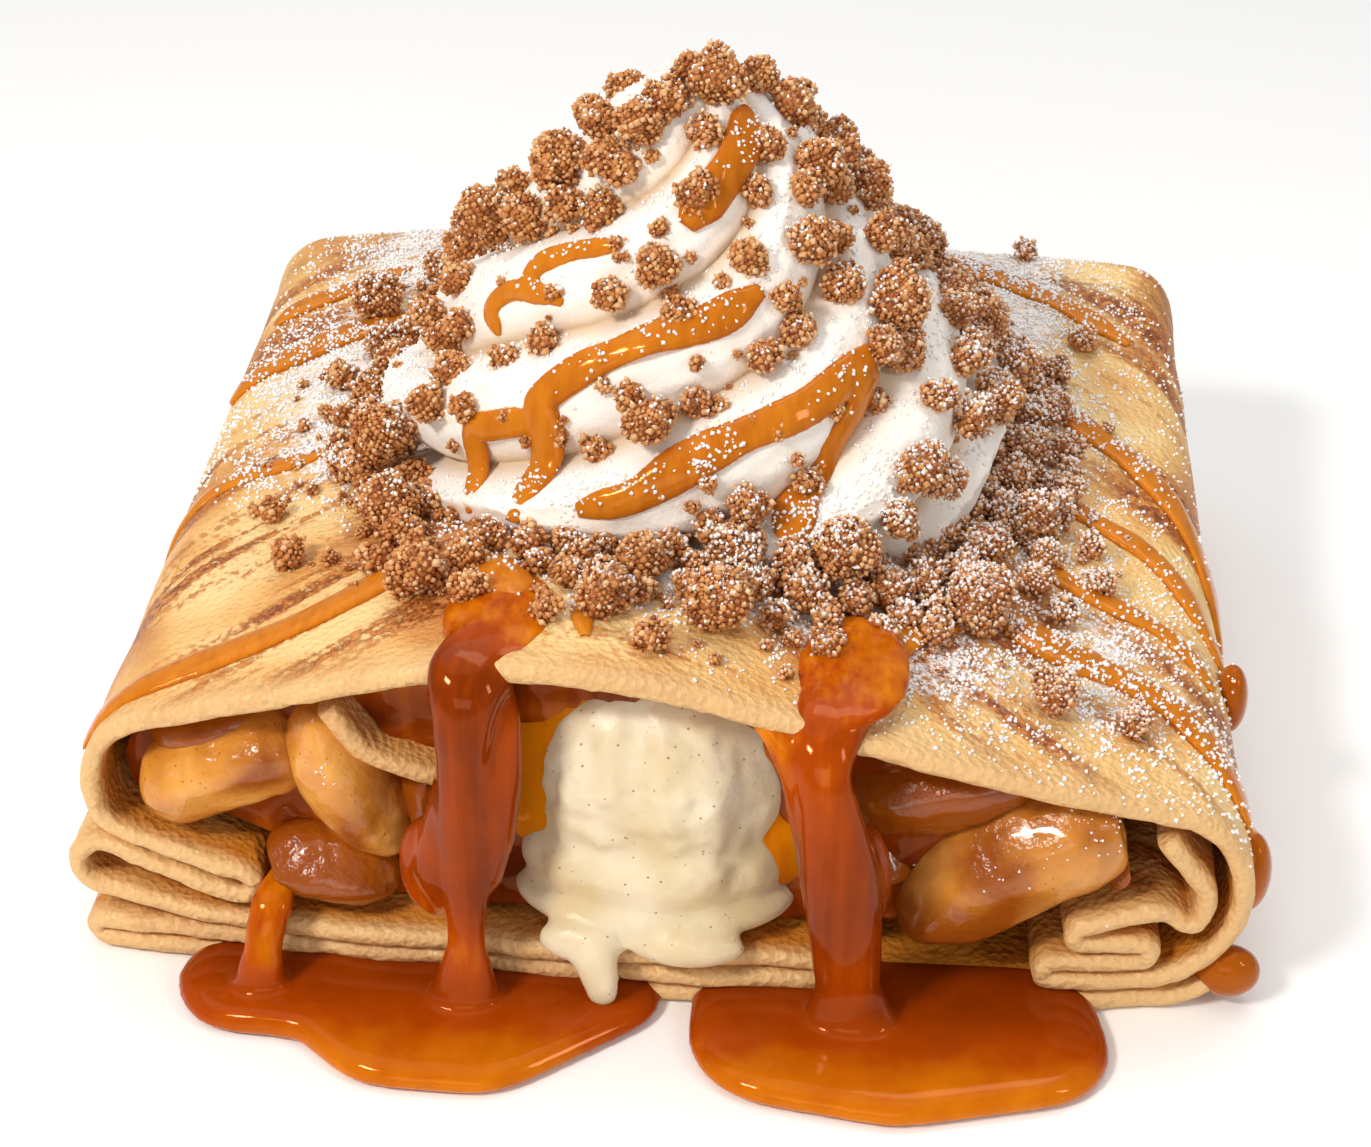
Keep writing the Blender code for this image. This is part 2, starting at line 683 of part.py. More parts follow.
# On the cream: (angle in degrees, height) of the route, and the half width
CREAM_DRIZZLE = [
    (((-50, 110), (-68, 107), (-90, 101)), 2.2),
    (((-112, 98), (-128, 96), (-140, 92), (-138, 88)), 1.3),
    (((-126, 89), (-144, 88), (-150, 84), (-146, 80)), 1.3),
    (((-74, 91), (-94, 88), (-110, 84), (-120, 78), (-117, 72), (-118, 64)), 1.9),
    (((-118, 75), (-130, 72), (-133, 68), (-126, 63)), 1.4),
    (((-42, 81), (-59, 79), (-72, 77), (-85, 74), (-96, 69), (-105, 61)), 1.9),
    (((-45, 79), (-50, 75), (-59, 71), (-70, 65)), 2.3),
    (((10, 84), (30, 78), (52, 70), (60, 62)), 1.9),
    (((150, 96), (120, 90), (98, 80)), 1.9),
]


def crepe_drizzle(skin):
    """The strands of drizzle on the crepe and the drops at its right side."""
    strands = []
    for route, half_width in CREPE_DRIZZLE:
        halfway = [[(a + b) / 2 for a, b in zip(*pair)] for pair in zip(route, route[1:])]
        stops = [place for pair in zip(route, halfway) for place in pair] + [route[-1]]
        hits = [skin.find_nearest(Vector(place)) for place in stops]
        places = [hit[0] - hit[1] * 0.2 * half_width for hit in hits]
        normals = [hit[1] for hit in hits]
        radii = [half_width] * len(places)
        radii[0] *= 0.6
        strands.append(new_object("strand", tube(places, normals, radii, 0.62, 6)))
    for centre, radii in DROPS:
        strands.append(new_object("drop", blob(centre, radii, 2)))
    return strands


def cream_drizzle():
    """The strands of drizzle that follow the swirl."""
    strands = []
    for route, half_width in CREAM_DRIZZLE:
        places = []
        normals = []
        for (a1, z1), (a2, z2) in zip(route, route[1:]):
            for share in (0.0, 0.5):
                angle = math.radians(a1 + (a2 - a1) * share)
                places.append(cream_point(angle, z1 + (z2 - z1) * share, 0.1))
                normals.append((math.cos(angle), math.sin(angle), 0.6))
        angle = math.radians(route[-1][0])
        places.append(cream_point(angle, route[-1][1], 0.1))
        normals.append((math.cos(angle), math.sin(angle), 0.6))
        radii = [half_width * (0.7 if i in (0, len(places) - 1) else 1.0) for i in range(len(places))]
        strands.append(new_object("strand", tube(places, normals, radii, 0.7, 5)))
    return strands


# The crumble

# The largest pieces on the cream: (angle in degrees, height, size)
CREAM_CRUMBLES = [
    (-60, 118, 10.5), (-150, 80, 11.5), (-158, 105, 12.0), (-152, 65, 12.0), (-112, 103, 13.0),
    (-79, 95, 12.5), (-125, 113, 9.5), (0, 112, 8.0), (-22, 106, 9.5), (-46, 99, 9.5),
    (-28, 88, 12.0), (-30, 77, 13.0), (-44, 68, 10.5), (-76, 83, 8.5), (-95, 78, 8.5),
    (-62, 62, 13.0), (-79, 61, 11.5), (180, 92, 11.0), (0, 98, 9.5), (6, 87, 11.0),
    (8, 74, 11.5), (-12, 67, 10.0), (168, 80, 9.5),
]
# The largest pieces on the crepe: (x, y, size)
CREPE_CRUMBLES = [
    (-61, -11, 12.5), (-45, -39, 12.0), (-33, -48, 12.0), (-37, -61, 10.5), (8, -65, 12.5),
    (47, -46, 13.0), (38, -56, 9.0), (-8, -66, 9.0), (-61, 37, 10.5), (-4, -56, 9.0),
    (56, -20, 10.0), (58, -62, 9.0),
]
BACK_CRUMBLES = 3      # further large pieces on the hidden side of the cream
CREAM_CRUMBS = 8       # small pieces fused to the cream
CREPE_CRUMBS = 18      # small pieces fused to the crepe
SEED = 12
SINK = 0.34            # how far above the surface a piece's middle sits, as a share of its size


def clear(centre, radius, taken, solids):
    """Whether a ball keeps its distance from the balls and solids already placed."""
    if any(solid.find_nearest(centre)[3] < radius + GAP for solid in solids):
        return False
    return all((centre - other).length > radius + reach + GAP for other, reach in taken)


def lumps(centre, size, seed, detail):
    """A knobbly ball of crumble."""
    return blob(centre, (size * 0.5, size * 0.5, size * 0.5), detail, seed, 0.13)


def on_cream(angle, height, size):
    """The middle of a piece that rests on the cream."""
    return Vector(cream_point(math.radians(angle), height, size * SINK))


def on_crepe(skin, x, y, size):
    """The middle of a piece that rests on the crepe's top."""
    hit = skin.ray_cast(Vector((x, y, 100.0)), Vector((0, 0, -1)))[0]
    return hit + Vector((0, 0, size * SINK))


def large_places(skin, taken, solids):
    """The places of the pieces that are objects of their own."""
    draw = random.Random(SEED)
    wanted = [(on_cream(*entry), entry[2]) for entry in CREAM_CRUMBLES]
    wanted += [(on_crepe(skin, *entry), entry[2]) for entry in CREPE_CRUMBLES]
    for index in range(BACK_CRUMBLES * 6):
        angle = draw.uniform(50, 150)
        size = draw.uniform(8.0, 12.0)
        wanted.append((on_cream(angle, draw.uniform(60, 98), size), size))
    chosen = []
    limit = len(CREAM_CRUMBLES) + len(CREPE_CRUMBLES) + BACK_CRUMBLES
    for centre, size in wanted:
        if len(chosen) < limit and clear(centre, size * 0.56, taken, solids):
            chosen.append((centre, size))
            taken.append((centre, size * 0.56))
    return chosen


def small_crumbs(count, pick, low, high, taken, solids, seed):
    """Small pieces at places that pick draws, clear of the large ones."""
    draw = random.Random(seed)
    crumbs = []
    tries = 0
    while len(crumbs) < count and tries < 60 * count:
        tries += 1
        size = draw.uniform(low, high)
        centre = pick(draw, size)
        if centre is not None and clear(centre, size * 0.56, taken, solids):
            taken.append((centre, size * 0.56))
            crumbs.append(new_object("crumb", lumps(centre, size, tries, 1)))
    return crumbs


def ring_place(skin, draw, size):
    """A place in the ring of crumbs round the cream's foot, closer together at the front right."""
    angle = draw.uniform(-180, 180)
    reach = 53.5 + size / 2 + 20 * draw.random() ** 1.6
    if -80 < angle < 10 and draw.random() < 0.4:
        reach += 10
    x = reach * math.cos(math.radians(angle))
    y = reach * math.sin(math.radians(angle)) * 0.95
    if y < -74 or y > 58 or abs(x) > 76:
        return None
    return on_crepe(skin, x, y, size)


def swirl_place(draw, size):
    """A place on the swirl."""
    return on_cream(draw.uniform(-180, 180), draw.uniform(60, 108), size)


def strand_balls(strands):
    """Balls that cover the drizzle, so that crumbs keep clear of it."""
    balls = []
    for strand in strands:
        points = [vert.co / MM for vert in strand.data.vertices]
        balls += [(point, 0.9) for point in points]
    return balls


for old in list(bpy.data.objects):
    bpy.data.objects.remove(old)

crepe = add_crepe()
skin = surface(crepe)
cream = new_object("whipped_cream", cream_solid(), "cream")
left = add_caramel("caramel_left", LEFT_POOL, [LEFT_RUN, SIDE_RUN], LEFT_PATCHES)
right = add_caramel("caramel_right", RIGHT_POOL, [RIGHT_RUN], RIGHT_PATCHES)

on_crepe_strands = crepe_drizzle(skin)
on_cream_strands = cream_drizzle()
taken = strand_balls(on_crepe_strands + on_cream_strands)
solids = [surface(left), surface(right)]
large = large_places(skin, taken, solids)
cream_bits = small_crumbs(CREAM_CRUMBS, swirl_place, 4.5, 6.5, taken, solids, SEED + 1)
crepe_bits = small_crumbs(CREPE_CRUMBS, partial(ring_place, skin), 4.5, 7.0, taken, solids, SEED + 2)

boolean(cream, on_cream_strands + cream_bits, "UNION", "MANIFOLD")
boolean(cream, [crepe_form()], "DIFFERENCE")
keep_largest(cream, "cream", 2.0)
cream_form = new_object("cream_form", cream_solid(CREAM_CLEARANCE))
top_form = crepe_form()
boolean(crepe, on_crepe_strands + crepe_bits, "UNION", "MANIFOLD")
keep_largest(crepe, "crepe", 1.0)
for number, (centre, size) in enumerate(large, 1):
    piece = new_object(f"crumble_{number:02d}", lumps(centre, size, number, 2), "crumble")
    boolean(piece, [twin(top_form), twin(cream_form)], "DIFFERENCE")
    keep_largest(piece, "crumble", 4.0)
bpy.data.objects.remove(cream_form)
bpy.data.objects.remove(top_form)

MAKERS = [("ice_cream", "ice", scoop_solid), ("inner_layer", "crepe", flap_solid)]
for number, apple in enumerate(APPLES, 1):
    MAKERS.append((f"apple_slice_{number}", "apple", partial(slice_solid, *apple)))
add_pieces_inside(MAKERS)
cutters = [new_object("cut", maker(grow=GAP)) for name, material, maker in MAKERS]
cutters += [new_object("cut", blob(centre, [r + GAP for r in radii], 2)) for centre, radii in MELT]
add_filling(cutters)
melt = [new_object("melt", blob(*entry, 2)) for entry in MELT]
ice_cream = bpy.data.objects["ice_cream"]
boolean(ice_cream, melt, "UNION")
keep_largest(ice_cream, "ice")
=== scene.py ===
"""The looks of a rolled crepe with baked apples, ice cream, whipped cream, caramel and crumble.

Lengths are millimetres in the part's own frame and become metres as meshes are made:
+X along the crepe's width, +Y away from its open end, +Z up.
"""

import math
import random

import bmesh
import bpy
import numpy as np
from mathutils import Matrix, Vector
from mathutils.bvhtree import BVHTree


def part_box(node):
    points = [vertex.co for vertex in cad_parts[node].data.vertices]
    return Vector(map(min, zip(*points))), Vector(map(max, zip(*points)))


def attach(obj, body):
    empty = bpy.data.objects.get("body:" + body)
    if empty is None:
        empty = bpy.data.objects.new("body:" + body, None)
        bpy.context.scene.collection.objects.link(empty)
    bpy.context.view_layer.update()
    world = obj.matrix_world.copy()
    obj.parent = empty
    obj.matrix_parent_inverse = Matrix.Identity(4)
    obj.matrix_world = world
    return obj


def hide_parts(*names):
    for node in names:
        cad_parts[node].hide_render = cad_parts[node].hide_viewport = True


MM = 0.001

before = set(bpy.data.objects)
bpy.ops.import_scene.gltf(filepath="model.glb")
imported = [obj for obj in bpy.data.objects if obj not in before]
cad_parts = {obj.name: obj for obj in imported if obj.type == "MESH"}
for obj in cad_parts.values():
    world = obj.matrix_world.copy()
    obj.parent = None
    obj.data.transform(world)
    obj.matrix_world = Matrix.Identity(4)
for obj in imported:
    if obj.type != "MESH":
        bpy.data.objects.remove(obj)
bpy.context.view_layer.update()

# The forms that the solids have, repeated from their source
SHEET = 3.2
GAP = 0.4
LAYER = SHEET + GAP
FRONT = 77.0
FRONT_BULGE = 6.0
BACK = 67.0
BACK_ROUND = 10.0
HALF_WIDTH = 89.0
HALF_HEIGHT = 29.0
BACK_WIDTH = 0.985
BLEND_POWER = 1.4
CREAM_PITCH = 17.0
CREAM_STARTS = 6
CREAM_LOW = 42.0
CREAM_TOP = 119.0
CREAM_PROFILE = ((42, 47.5), (57, 48.5), (63, 49.0), (71, 44.5), (82, 36.0), (95, 26.0),
                 (104, 18.5), (111, 12.5), (116, 7.0), (119, 2.0))
SCOOP_CENTRE = (-0.5, -65.5, 34.0)
SCOOP_RADII = (21.8, 17.6, 22.0)
POOL_HEIGHT = 4.2
CW, CCW = -1, 1
BOTTOM = SHEET / 2
HAIRPIN = LAYER / 2
FREE_END = (87.4, 6.4)
INNER_END = (74.6, 31.6)
UNDER_PINS = [
    (77.0, BOTTOM + 9.0, 9.0, CW), (-86.4, BOTTOM + HAIRPIN, HAIRPIN, CW),
    (25.0, BOTTOM + LAYER + HAIRPIN, HAIRPIN, CCW), (-68.0, BOTTOM + 2 * LAYER + 10.0, 10.0, CW),
    (-85.0, 16.0, 4.4, CW), (-63.6, 15.9, 2.6, CCW), (-79.6, 28.0, 5.0, CW),
]
ARCH_FRONT = [(-71.2, 31.5, 14.0, CW), (-14.0, -31.0, 90.0, CW), (72.6, 21.6, 14.4, CW)]
ARCH_BACK = [(-77.8, 44.0, 8.5, CW), (0.0, -343.0, 400.0, CW), (78.0, 43.5, 8.5, CW)]
RIGHT_PIN = (72.0, BOTTOM + LAYER + 15.0, 15.0, CW)
TUCKED_PINS = [
    (60.0, BOTTOM + LAYER + HAIRPIN, HAIRPIN, CW), (72.3, BOTTOM + 2 * LAYER + HAIRPIN, HAIRPIN, CCW),
    (64.0, BOTTOM + 3 * LAYER + HAIRPIN, HAIRPIN, CW), (74.5, 14.6, 3.6, CW), (79.4, 17.6, 1.9, CCW),
    (79.2, 21.6, 2.4, CCW),
]
OUTLINE_LEFT = [(-82.4, BOTTOM + 6.4, 6.4, CW), (-85.0, 16.0, 4.4, CW)]
OUTLINE_RIGHT = [RIGHT_PIN, (77.0, BOTTOM + 9.0, 9.0, CW)]
INSIDE = SHEET / 2 + 6.0 * GAP
ROOM_LEFT = [(-52.0, 14.4, 3.0, CW), (-63.6, 15.9, 2.6 + INSIDE, CCW),
             (-79.2, 28.4, 5.4 - INSIDE, CW)]
ROOM_RIGHT = [(64.5, 34.5, 3.0, CW), (67.0, 24.0, 3.0, CW),
              (64.0, BOTTOM + 3 * LAYER + HAIRPIN, HAIRPIN + INSIDE, CCW), (46.0, 14.4, 3.0, CW)]
LEFT_POOL = [
    (-64.5, -83.5, 9.0, CW), (-30.0, -74.0, 9.0, CW), (-7.0, -83.0, 8.5, CW), (-26.0, -90.5, 14.5, CW),
    (-38.0, -93.0, 11.5, CW), (-54.5, -100.5, 5.0, CCW), (-62.5, -85.0, 10.0, CW),
]
RIGHT_POOL = [
    (16.0, -84.0, 10.5, CW), (58.0, -82.0, 9.0, CW), (56.0, -89.0, 12.5, CW), (36.0, -90.5, 16.0, CW),
    (20.0, -89.5, 14.5, CW),
]


def back_fold(pin):
    """A pin of the folds as it stands at the back of the crepe."""
    return (pin[0] * BACK_WIDTH, *pin[1:])


def tangent(first, second, offset):
    """Heading of the straight run from one pin to the next."""
    rho1 = first[3] * first[2] - offset
    rho2 = second[3] * second[2] - offset
    dx = second[0] - first[0]
    dz = second[1] - first[1]
    lean = max(-1.0, min(1.0, (rho2 - rho1) / math.hypot(dx, dz)))
    return math.atan2(dz, dx) - math.asin(lean)


def belt(pins, offset=0.0, closed=False, start=None, end=None, counts=None, arc=12.0, chord=2.2,
         run=2.6):
    """Points along a belt round pins, moved to its left by offset, and the counts used."""
    chain = list(pins)
    if start:
        chain = [(*start, 0.0, 0)] + chain
    if end:
        chain = chain + [(*end, 0.0, 0)]
    pairs = list(zip(chain, chain[1:] + chain[:1]))
    if not closed:
        pairs = pairs[:-1]

    def place(pin, heading):
        rho = pin[3] * pin[2] - offset if pin[3] else -offset
        return (pin[0] + math.sin(heading) * rho, pin[1] - math.cos(heading) * rho)

    headings = []
    for first, second in pairs:
        plain1 = first if first[3] else (*first[:2], 0.0, 1)
        plain2 = second if second[3] else (*second[:2], 0.0, 1)
        headings.append(tangent(plain1, plain2, offset))
    points = []
    used = []
    given = iter(counts) if counts else None
    for index, pin in enumerate(chain):
        if not closed and index == 0:
            points.append(place(pin, headings[0]))
        elif not closed and index == len(chain) - 1:
            points.append(place(pin, headings[-1]))
            break
        else:
            heading_in = headings[index - 1]
            angle = (headings[index] - heading_in) * pin[3] % (2 * math.pi)
            angle = 0.0 if angle > 1.9 * math.pi else angle * pin[3]
            steps = max(1, round(abs(math.degrees(angle)) / arc), round(abs(angle) * pin[2] / chord))
            if given:
                steps = next(given)
            used.append(steps)
            points += [place(pin, heading_in + angle * step / steps) for step in range(steps + 1)]
        there = place(chain[(index + 1) % len(chain)], headings[index])
        here = points[-1]
        pieces = max(1, round(math.dist(here, there) / run))
        if given:
            pieces = next(given)
        used.append(pieces)
        for step in range(1, pieces):
            share = step / pieces
            points.append((here[0] + (there[0] - here[0]) * share,
                           here[1] + (there[1] - here[1]) * share))
    return points, used


# Small tools


def linear(colour):
    """An sRGB hex colour as the linear values that shaders take."""
    values = [int(colour[i:i + 2], 16) / 255 for i in (0, 2, 4)]
    return (*[v / 12.92 if v <= 0.04045 else ((v + 0.055) / 1.055) ** 2.4 for v in values], 1.0)


# The noise's grid starts far off and is turned, so that its cells don't show as squares
NOISE_START = 1000.0
TURNED = np.array([(0.36, 0.48, -0.8), (-0.8, 0.6, 0.0), (0.48, 0.64, 0.6)])


def rough(points, size, seed=0):
    """Smooth noise from -1 to 1 at points, with features about size millimetres across."""
    places = points @ TURNED / size + NOISE_START
    base = np.floor(places).astype(np.int64)
    part = places - base
    part = part * part * (3 - 2 * part)
    total = np.zeros(len(points))
    for corner in range(8):
        step = np.array([corner & 1, corner >> 1 & 1, corner >> 2 & 1])
        cell = base + step
        weight = np.prod(np.where(step, part, 1 - part), axis=1)
        mixed = (cell[:, 0] * 374761393 + cell[:, 1] * 668265263 + cell[:, 2] * 1440662683
                 + seed * 974634777) & 0xFFFFFFFF
        mixed = ((mixed ^ (mixed >> 13)) * 1274126177) & 0xFFFFFFFF
        mixed = mixed ^ (mixed >> 16)
        total += weight * ((mixed & 0xFFFFFF) / 0x7FFFFF - 1.0)
    return total


def jitter(points, size, seed=0):
    """Noise with a direction, one value for each axis."""
    return np.stack([rough(points, size, seed + axis) for axis in range(3)], axis=1)


def grid_faces(rows, columns, closed=True):
    """Quads between rows of points."""
    across = columns if closed else columns - 1
    i, j = np.meshgrid(np.arange(rows - 1), np.arange(across), indexing="ij")
    following = (j + 1) % columns
    return np.stack([i * columns + j, i * columns + following, (i + 1) * columns + following,
                     (i + 1) * columns + j], axis=-1).reshape(-1, 4)


def closed_faces(rows, columns):
    """The faces of a tube of rings, closed at both ends."""
    last = rows * columns
    return [*grid_faces(rows, columns).tolist(), list(range(columns)), list(range(last - columns, last))]


def make_object(name, points, faces, material, outward=True):
    """A smooth-shaded object from points in millimetres."""
    mesh = bpy.data.meshes.new(name)
    mesh.from_pydata((np.asarray(points) * MM).tolist(), [], [list(map(int, face)) for face in faces])
    if outward:
        bm = bmesh.new()
        bm.from_mesh(mesh)
        bmesh.ops.recalc_face_normals(bm, faces=bm.faces)
        if bm.calc_volume(signed=True) < 0:
            bmesh.ops.reverse_faces(bm, faces=bm.faces)
        bm.to_mesh(mesh)
        bm.free()
    mesh.materials.append(material)
    mesh.shade_smooth()
    thing = bpy.data.objects.new(name, mesh)
    bpy.context.scene.collection.objects.link(thing)
    return thing


def points_of(thing):
    """An object's points in millimetres."""
    values = np.empty(len(thing.data.vertices) * 3, np.float32)
    thing.data.vertices.foreach_get("co", values)
    return values.reshape(-1, 3).astype(float) / MM


def normals_of(thing):
    """An object's normals at its points."""
    values = np.empty(len(thing.data.vertices) * 3, np.float32)
    thing.data.vertex_normals.foreach_get("vector", values)
    return values.reshape(-1, 3).astype(float)


def move_points(thing, points):
    """Give an object new points in millimetres."""
    thing.data.vertices.foreach_set("co", (points * MM).astype(np.float32).ravel())
    thing.data.update()


def mark(thing, name, values):
    """Store a value at every point, for the material."""
    attribute = thing.data.attributes.new(name, "FLOAT", "POINT")
    attribute.data.foreach_set("value", np.asarray(values, np.float32))


def search_tree(*things):
    """A search tree of objects' faces, in millimetres."""
    points = []
    faces = []
    for thing in things:
        start = len(points)
        points += [Vector(point) for point in points_of(thing)]
        faces += [[start + index for index in face.vertices] for face in thing.data.polygons]
    return BVHTree.FromPolygons(points, faces)


def apply_modifiers(thing):
    """Make what the modifiers give the object's own mesh."""
    graph = bpy.context.evaluated_depsgraph_get()
    mesh = bpy.data.meshes.new_from_object(thing.evaluated_get(graph))
    old = thing.data
    thing.modifiers.clear()
    thing.data = mesh
    bpy.data.meshes.remove(old)
    mesh.shade_smooth()


def melt_together(thing, voxel, rounds):
    """Fuse an object's shells into one skin and round off where they meet."""
    remesh = thing.modifiers.new("fuse", "REMESH")
    remesh.mode = "VOXEL"
    remesh.voxel_size = voxel * MM
    remesh.use_smooth_shade = True
    smooth = thing.modifiers.new("round", "SMOOTH")
    smooth.factor = 0.5
    smooth.iterations = rounds
    apply_modifiers(thing)


def joined(parts):
    """One list of points and one of faces from several."""
    points = []
    faces = []
    start = 0
    for part_points, part_faces in parts:
        points.append(part_points)
        faces += [[int(index) + start for index in face] for face in part_faces]
        start += len(part_points)
    return np.concatenate(points), faces


def smooth_path(stops, steps):
    """A smooth curve through stops, as points with evenly spread steps between them."""
    stops = [np.array(stop, float) for stop in stops]
    chain = [2 * stops[0] - stops[1]] + stops + [2 * stops[-1] - stops[-2]]
    path = []
    for a, b, c, d in zip(chain, chain[1:], chain[2:], chain[3:]):
        for step in range(steps):
            t = step / steps
            path.append(0.5 * (2 * b + (c - a) * t + (2 * a - 5 * b + 4 * c - d) * t * t
                               + (3 * b - a - 3 * c + d) * t ** 3))
    path.append(stops[-1])
    return np.array(path)


def strand(path, normals, radii, flat, sides=12):
    """Points and faces of a strand along a path, flattened along the normals."""
    flat = np.broadcast_to(flat, len(path))
    rings = []
    for index, place in enumerate(path):
        along = path[min(index + 1, len(path) - 1)] - path[max(index - 1, 0)]
        along = along / max(1e-6, np.linalg.norm(along))
        side = np.cross(along, normals[index])
        side = side / max(1e-6, np.linalg.norm(side))
        rise = np.cross(side, along)
        turns = 2 * np.pi * np.arange(sides) / sides
        rings.append(place + radii[index] * (np.outer(np.cos(turns), side)
                                             + np.outer(np.sin(turns), rise) * flat[index]))
    points = np.concatenate(rings)
    return points, closed_faces(len(rings), sides)


def ball(centre, radii, level=3):
    """Points and faces of a stretched ball."""
    points, faces = SPHERES[level]
    return points * np.array(radii) + np.array(centre), faces


def unit_sphere(level):
    """Points and faces of a ball of radius one."""
    bm = bmesh.new()
    bmesh.ops.create_icosphere(bm, subdivisions=level, radius=1.0)
    points = np.array([vert.co[:] for vert in bm.verts])
    faces = np.array([[vert.index for vert in face.verts] for face in bm.faces])
    bm.free()
    return points, faces


SPHERES = {level: unit_sphere(level) for level in (1, 2, 3, 4, 5)}


# Materials


def add(tree, kind, links=None, **settings):
    """Add a shader node with its settings, and link or set its sockets."""
    node = tree.nodes.new(kind)
    for name, value in settings.items():
        setattr(node, name, value)
    for name, value in (links or {}).items():
        if isinstance(value, bpy.types.NodeSocket):
            tree.links.new(value, node.inputs[name])
        else:
            node.inputs[name].default_value = value
    return node


def calc(tree, operation, first, second=0.5, third=0.5):
    """A sum in the shader."""
    return add(tree, "ShaderNodeMath", {0: first, 1: second, 2: third}, operation=operation).outputs[0]


def noise(tree, where, size, detail=2.0, roughness=0.5, distortion=0.0):
    """Noise with features of about size millimetres."""
    return add(tree, "ShaderNodeTexNoise", {"Vector": where, "Scale": 1 / size, "Detail": detail,
                                            "Roughness": roughness, "Distortion": distortion}).outputs[0]


def spread(tree, value, low, high, to_low=0.0, to_high=1.0, **settings):
    """Map one range of values to another."""
    return add(tree, "ShaderNodeMapRange", {0: value, 1: low, 2: high, 3: to_low, 4: to_high},
               **settings).outputs[0]


def held(tree, name):
    """A value that the mesh holds at its points."""
    return add(tree, "ShaderNodeAttribute", attribute_name=name).outputs["Fac"]


def blend(tree, share, first, second):
    """Mix two colours."""
    second = linear(second) if isinstance(second, str) else second
    return add(tree, "ShaderNodeMix", {0: share, 6: first, 7: second}, data_type="RGBA").outputs[2]


def ramp(tree, value, stops):
    """Colours along a value, from stops of a place and a hex colour."""
    node = add(tree, "ShaderNodeValToRGB", {0: value})
    elements = node.color_ramp.elements
    while len(elements) < len(stops):
        elements.new(0.5)
    for element, (place, colour) in zip(elements, stops):
        element.position = place
        element.color = linear(colour)
    return node.outputs["Color"]


def new_material(name):
    """An empty material with its tree and object coordinates in millimetres."""
    material = bpy.data.materials.new(name)
    material.use_nodes = True
    tree = material.node_tree
    where = add(tree, "ShaderNodeTexCoord").outputs["Object"]
    where = add(tree, "ShaderNodeVectorMath", {0: where, "Scale": 1 / MM}, operation="SCALE").outputs[0]
    return material, tree, where


def surface(tree, colour, height, strength, distance, **levels):
    """Give the material its colour, its relief and other levels."""
    shader = tree.nodes["Principled BSDF"]
    tree.links.new(colour, shader.inputs["Base Color"])
    bump = add(tree, "ShaderNodeBump", {"Height": height, "Strength": strength, "Distance": distance * MM})
    tree.links.new(bump.outputs[0], shader.inputs["Normal"])
    for name, value in levels.items():
        shader.inputs[name.replace("_", " ")].default_value = value
    return shader


def crepe_material():
    """Thin fried batter: pale yellow and soft, with brown griddle streaks and fine pores."""
    material, tree, where = new_material("fried_crepe_batter")
    x, y, z = add(tree, "ShaderNodeSeparateXYZ", {0: where}).outputs
    side = calc(tree, "SQRT", calc(tree, "MULTIPLY_ADD", x, x, 500.0))
    # the griddle's streaks lie in shallow arcs round the cream, 6 to 12 mm apart
    lean = calc(tree, "MULTIPLY_ADD", side, 0.66, y)
    drop = calc(tree, "MULTIPLY_ADD", z, -0.5, lean)
    lines = add(tree, "ShaderNodeCombineXYZ", {0: calc(tree, "MULTIPLY", x, 0.016),
                                               1: calc(tree, "MULTIPLY", drop, 0.105),
                                               2: calc(tree, "MULTIPLY", z, 0.02)}).outputs[0]
    streaks = noise(tree, lines, 1.0, 3.0, 0.55, 0.35)
    patches = noise(tree, where, 26)
    pores = noise(tree, where, 1.5, 3.0, 0.6)
    cells = add(tree, "ShaderNodeTexVoronoi", {"Vector": where, "Scale": 1 / 1.15}).outputs[0]
    grain = calc(tree, "MULTIPLY_ADD", pores, 0.45, calc(tree, "MULTIPLY_ADD", patches, 0.35, streaks))
    browned = spread(tree, grain, 0.865, 1.02, interpolation_type="SMOOTHSTEP")
    browning = calc(tree, "MULTIPLY", browned, held(tree, "browning"))
    pale = ramp(tree, patches, [(0.36, "EFCB8C"), (0.5, "E2AD64"), (0.62, "C88442")])
    brown = ramp(tree, pores, [(0.38, "74340E"), (0.5, "A2581E"), (0.62, "CC8840")])
    # the cut rim never touched the griddle and stays pale
    colour = blend(tree, browning, blend(tree, held(tree, "rim"), pale, "DDB277"), brown)
    # the sides that face the filling are soaked with syrup, and painted shade also darkens them and the low
    # folds to amber
    soak_and_shade = calc(tree, "MULTIPLY", held(tree, "syrup_and_shade"), patches)
    soak_and_shade = add(tree, "ShaderNodeMath", {0: soak_and_shade, 1: 1.8}, operation="MULTIPLY", use_clamp=True).outputs[0]
    colour = blend(tree, soak_and_shade, colour, "C67A22")
    # powdered sugar that has settled into the pores, drawn as flecks of about 1 mm
    flecks = noise(tree, where, 1.25, 3.0, 0.75)
    powder = spread(tree, calc(tree, "MULTIPLY_ADD", held(tree, "sugar"), 0.44, flecks), 0.80, 0.94)
    relief = calc(tree, "MULTIPLY_ADD", powder, 0.5, calc(tree, "MULTIPLY_ADD", cells, 0.9, pores))
    shader = surface(tree, blend(tree, powder, colour, "F3EAE4"), relief, 0.55, 0.7,
                     Subsurface_Radius=(1.0, 0.55, 0.25), Subsurface_Weight=0.12, Subsurface_Scale=1.6 * MM)
    tree.links.new(spread(tree, pores, 0.35, 0.7, 0.36, 0.6), shader.inputs["Roughness"])
    return material


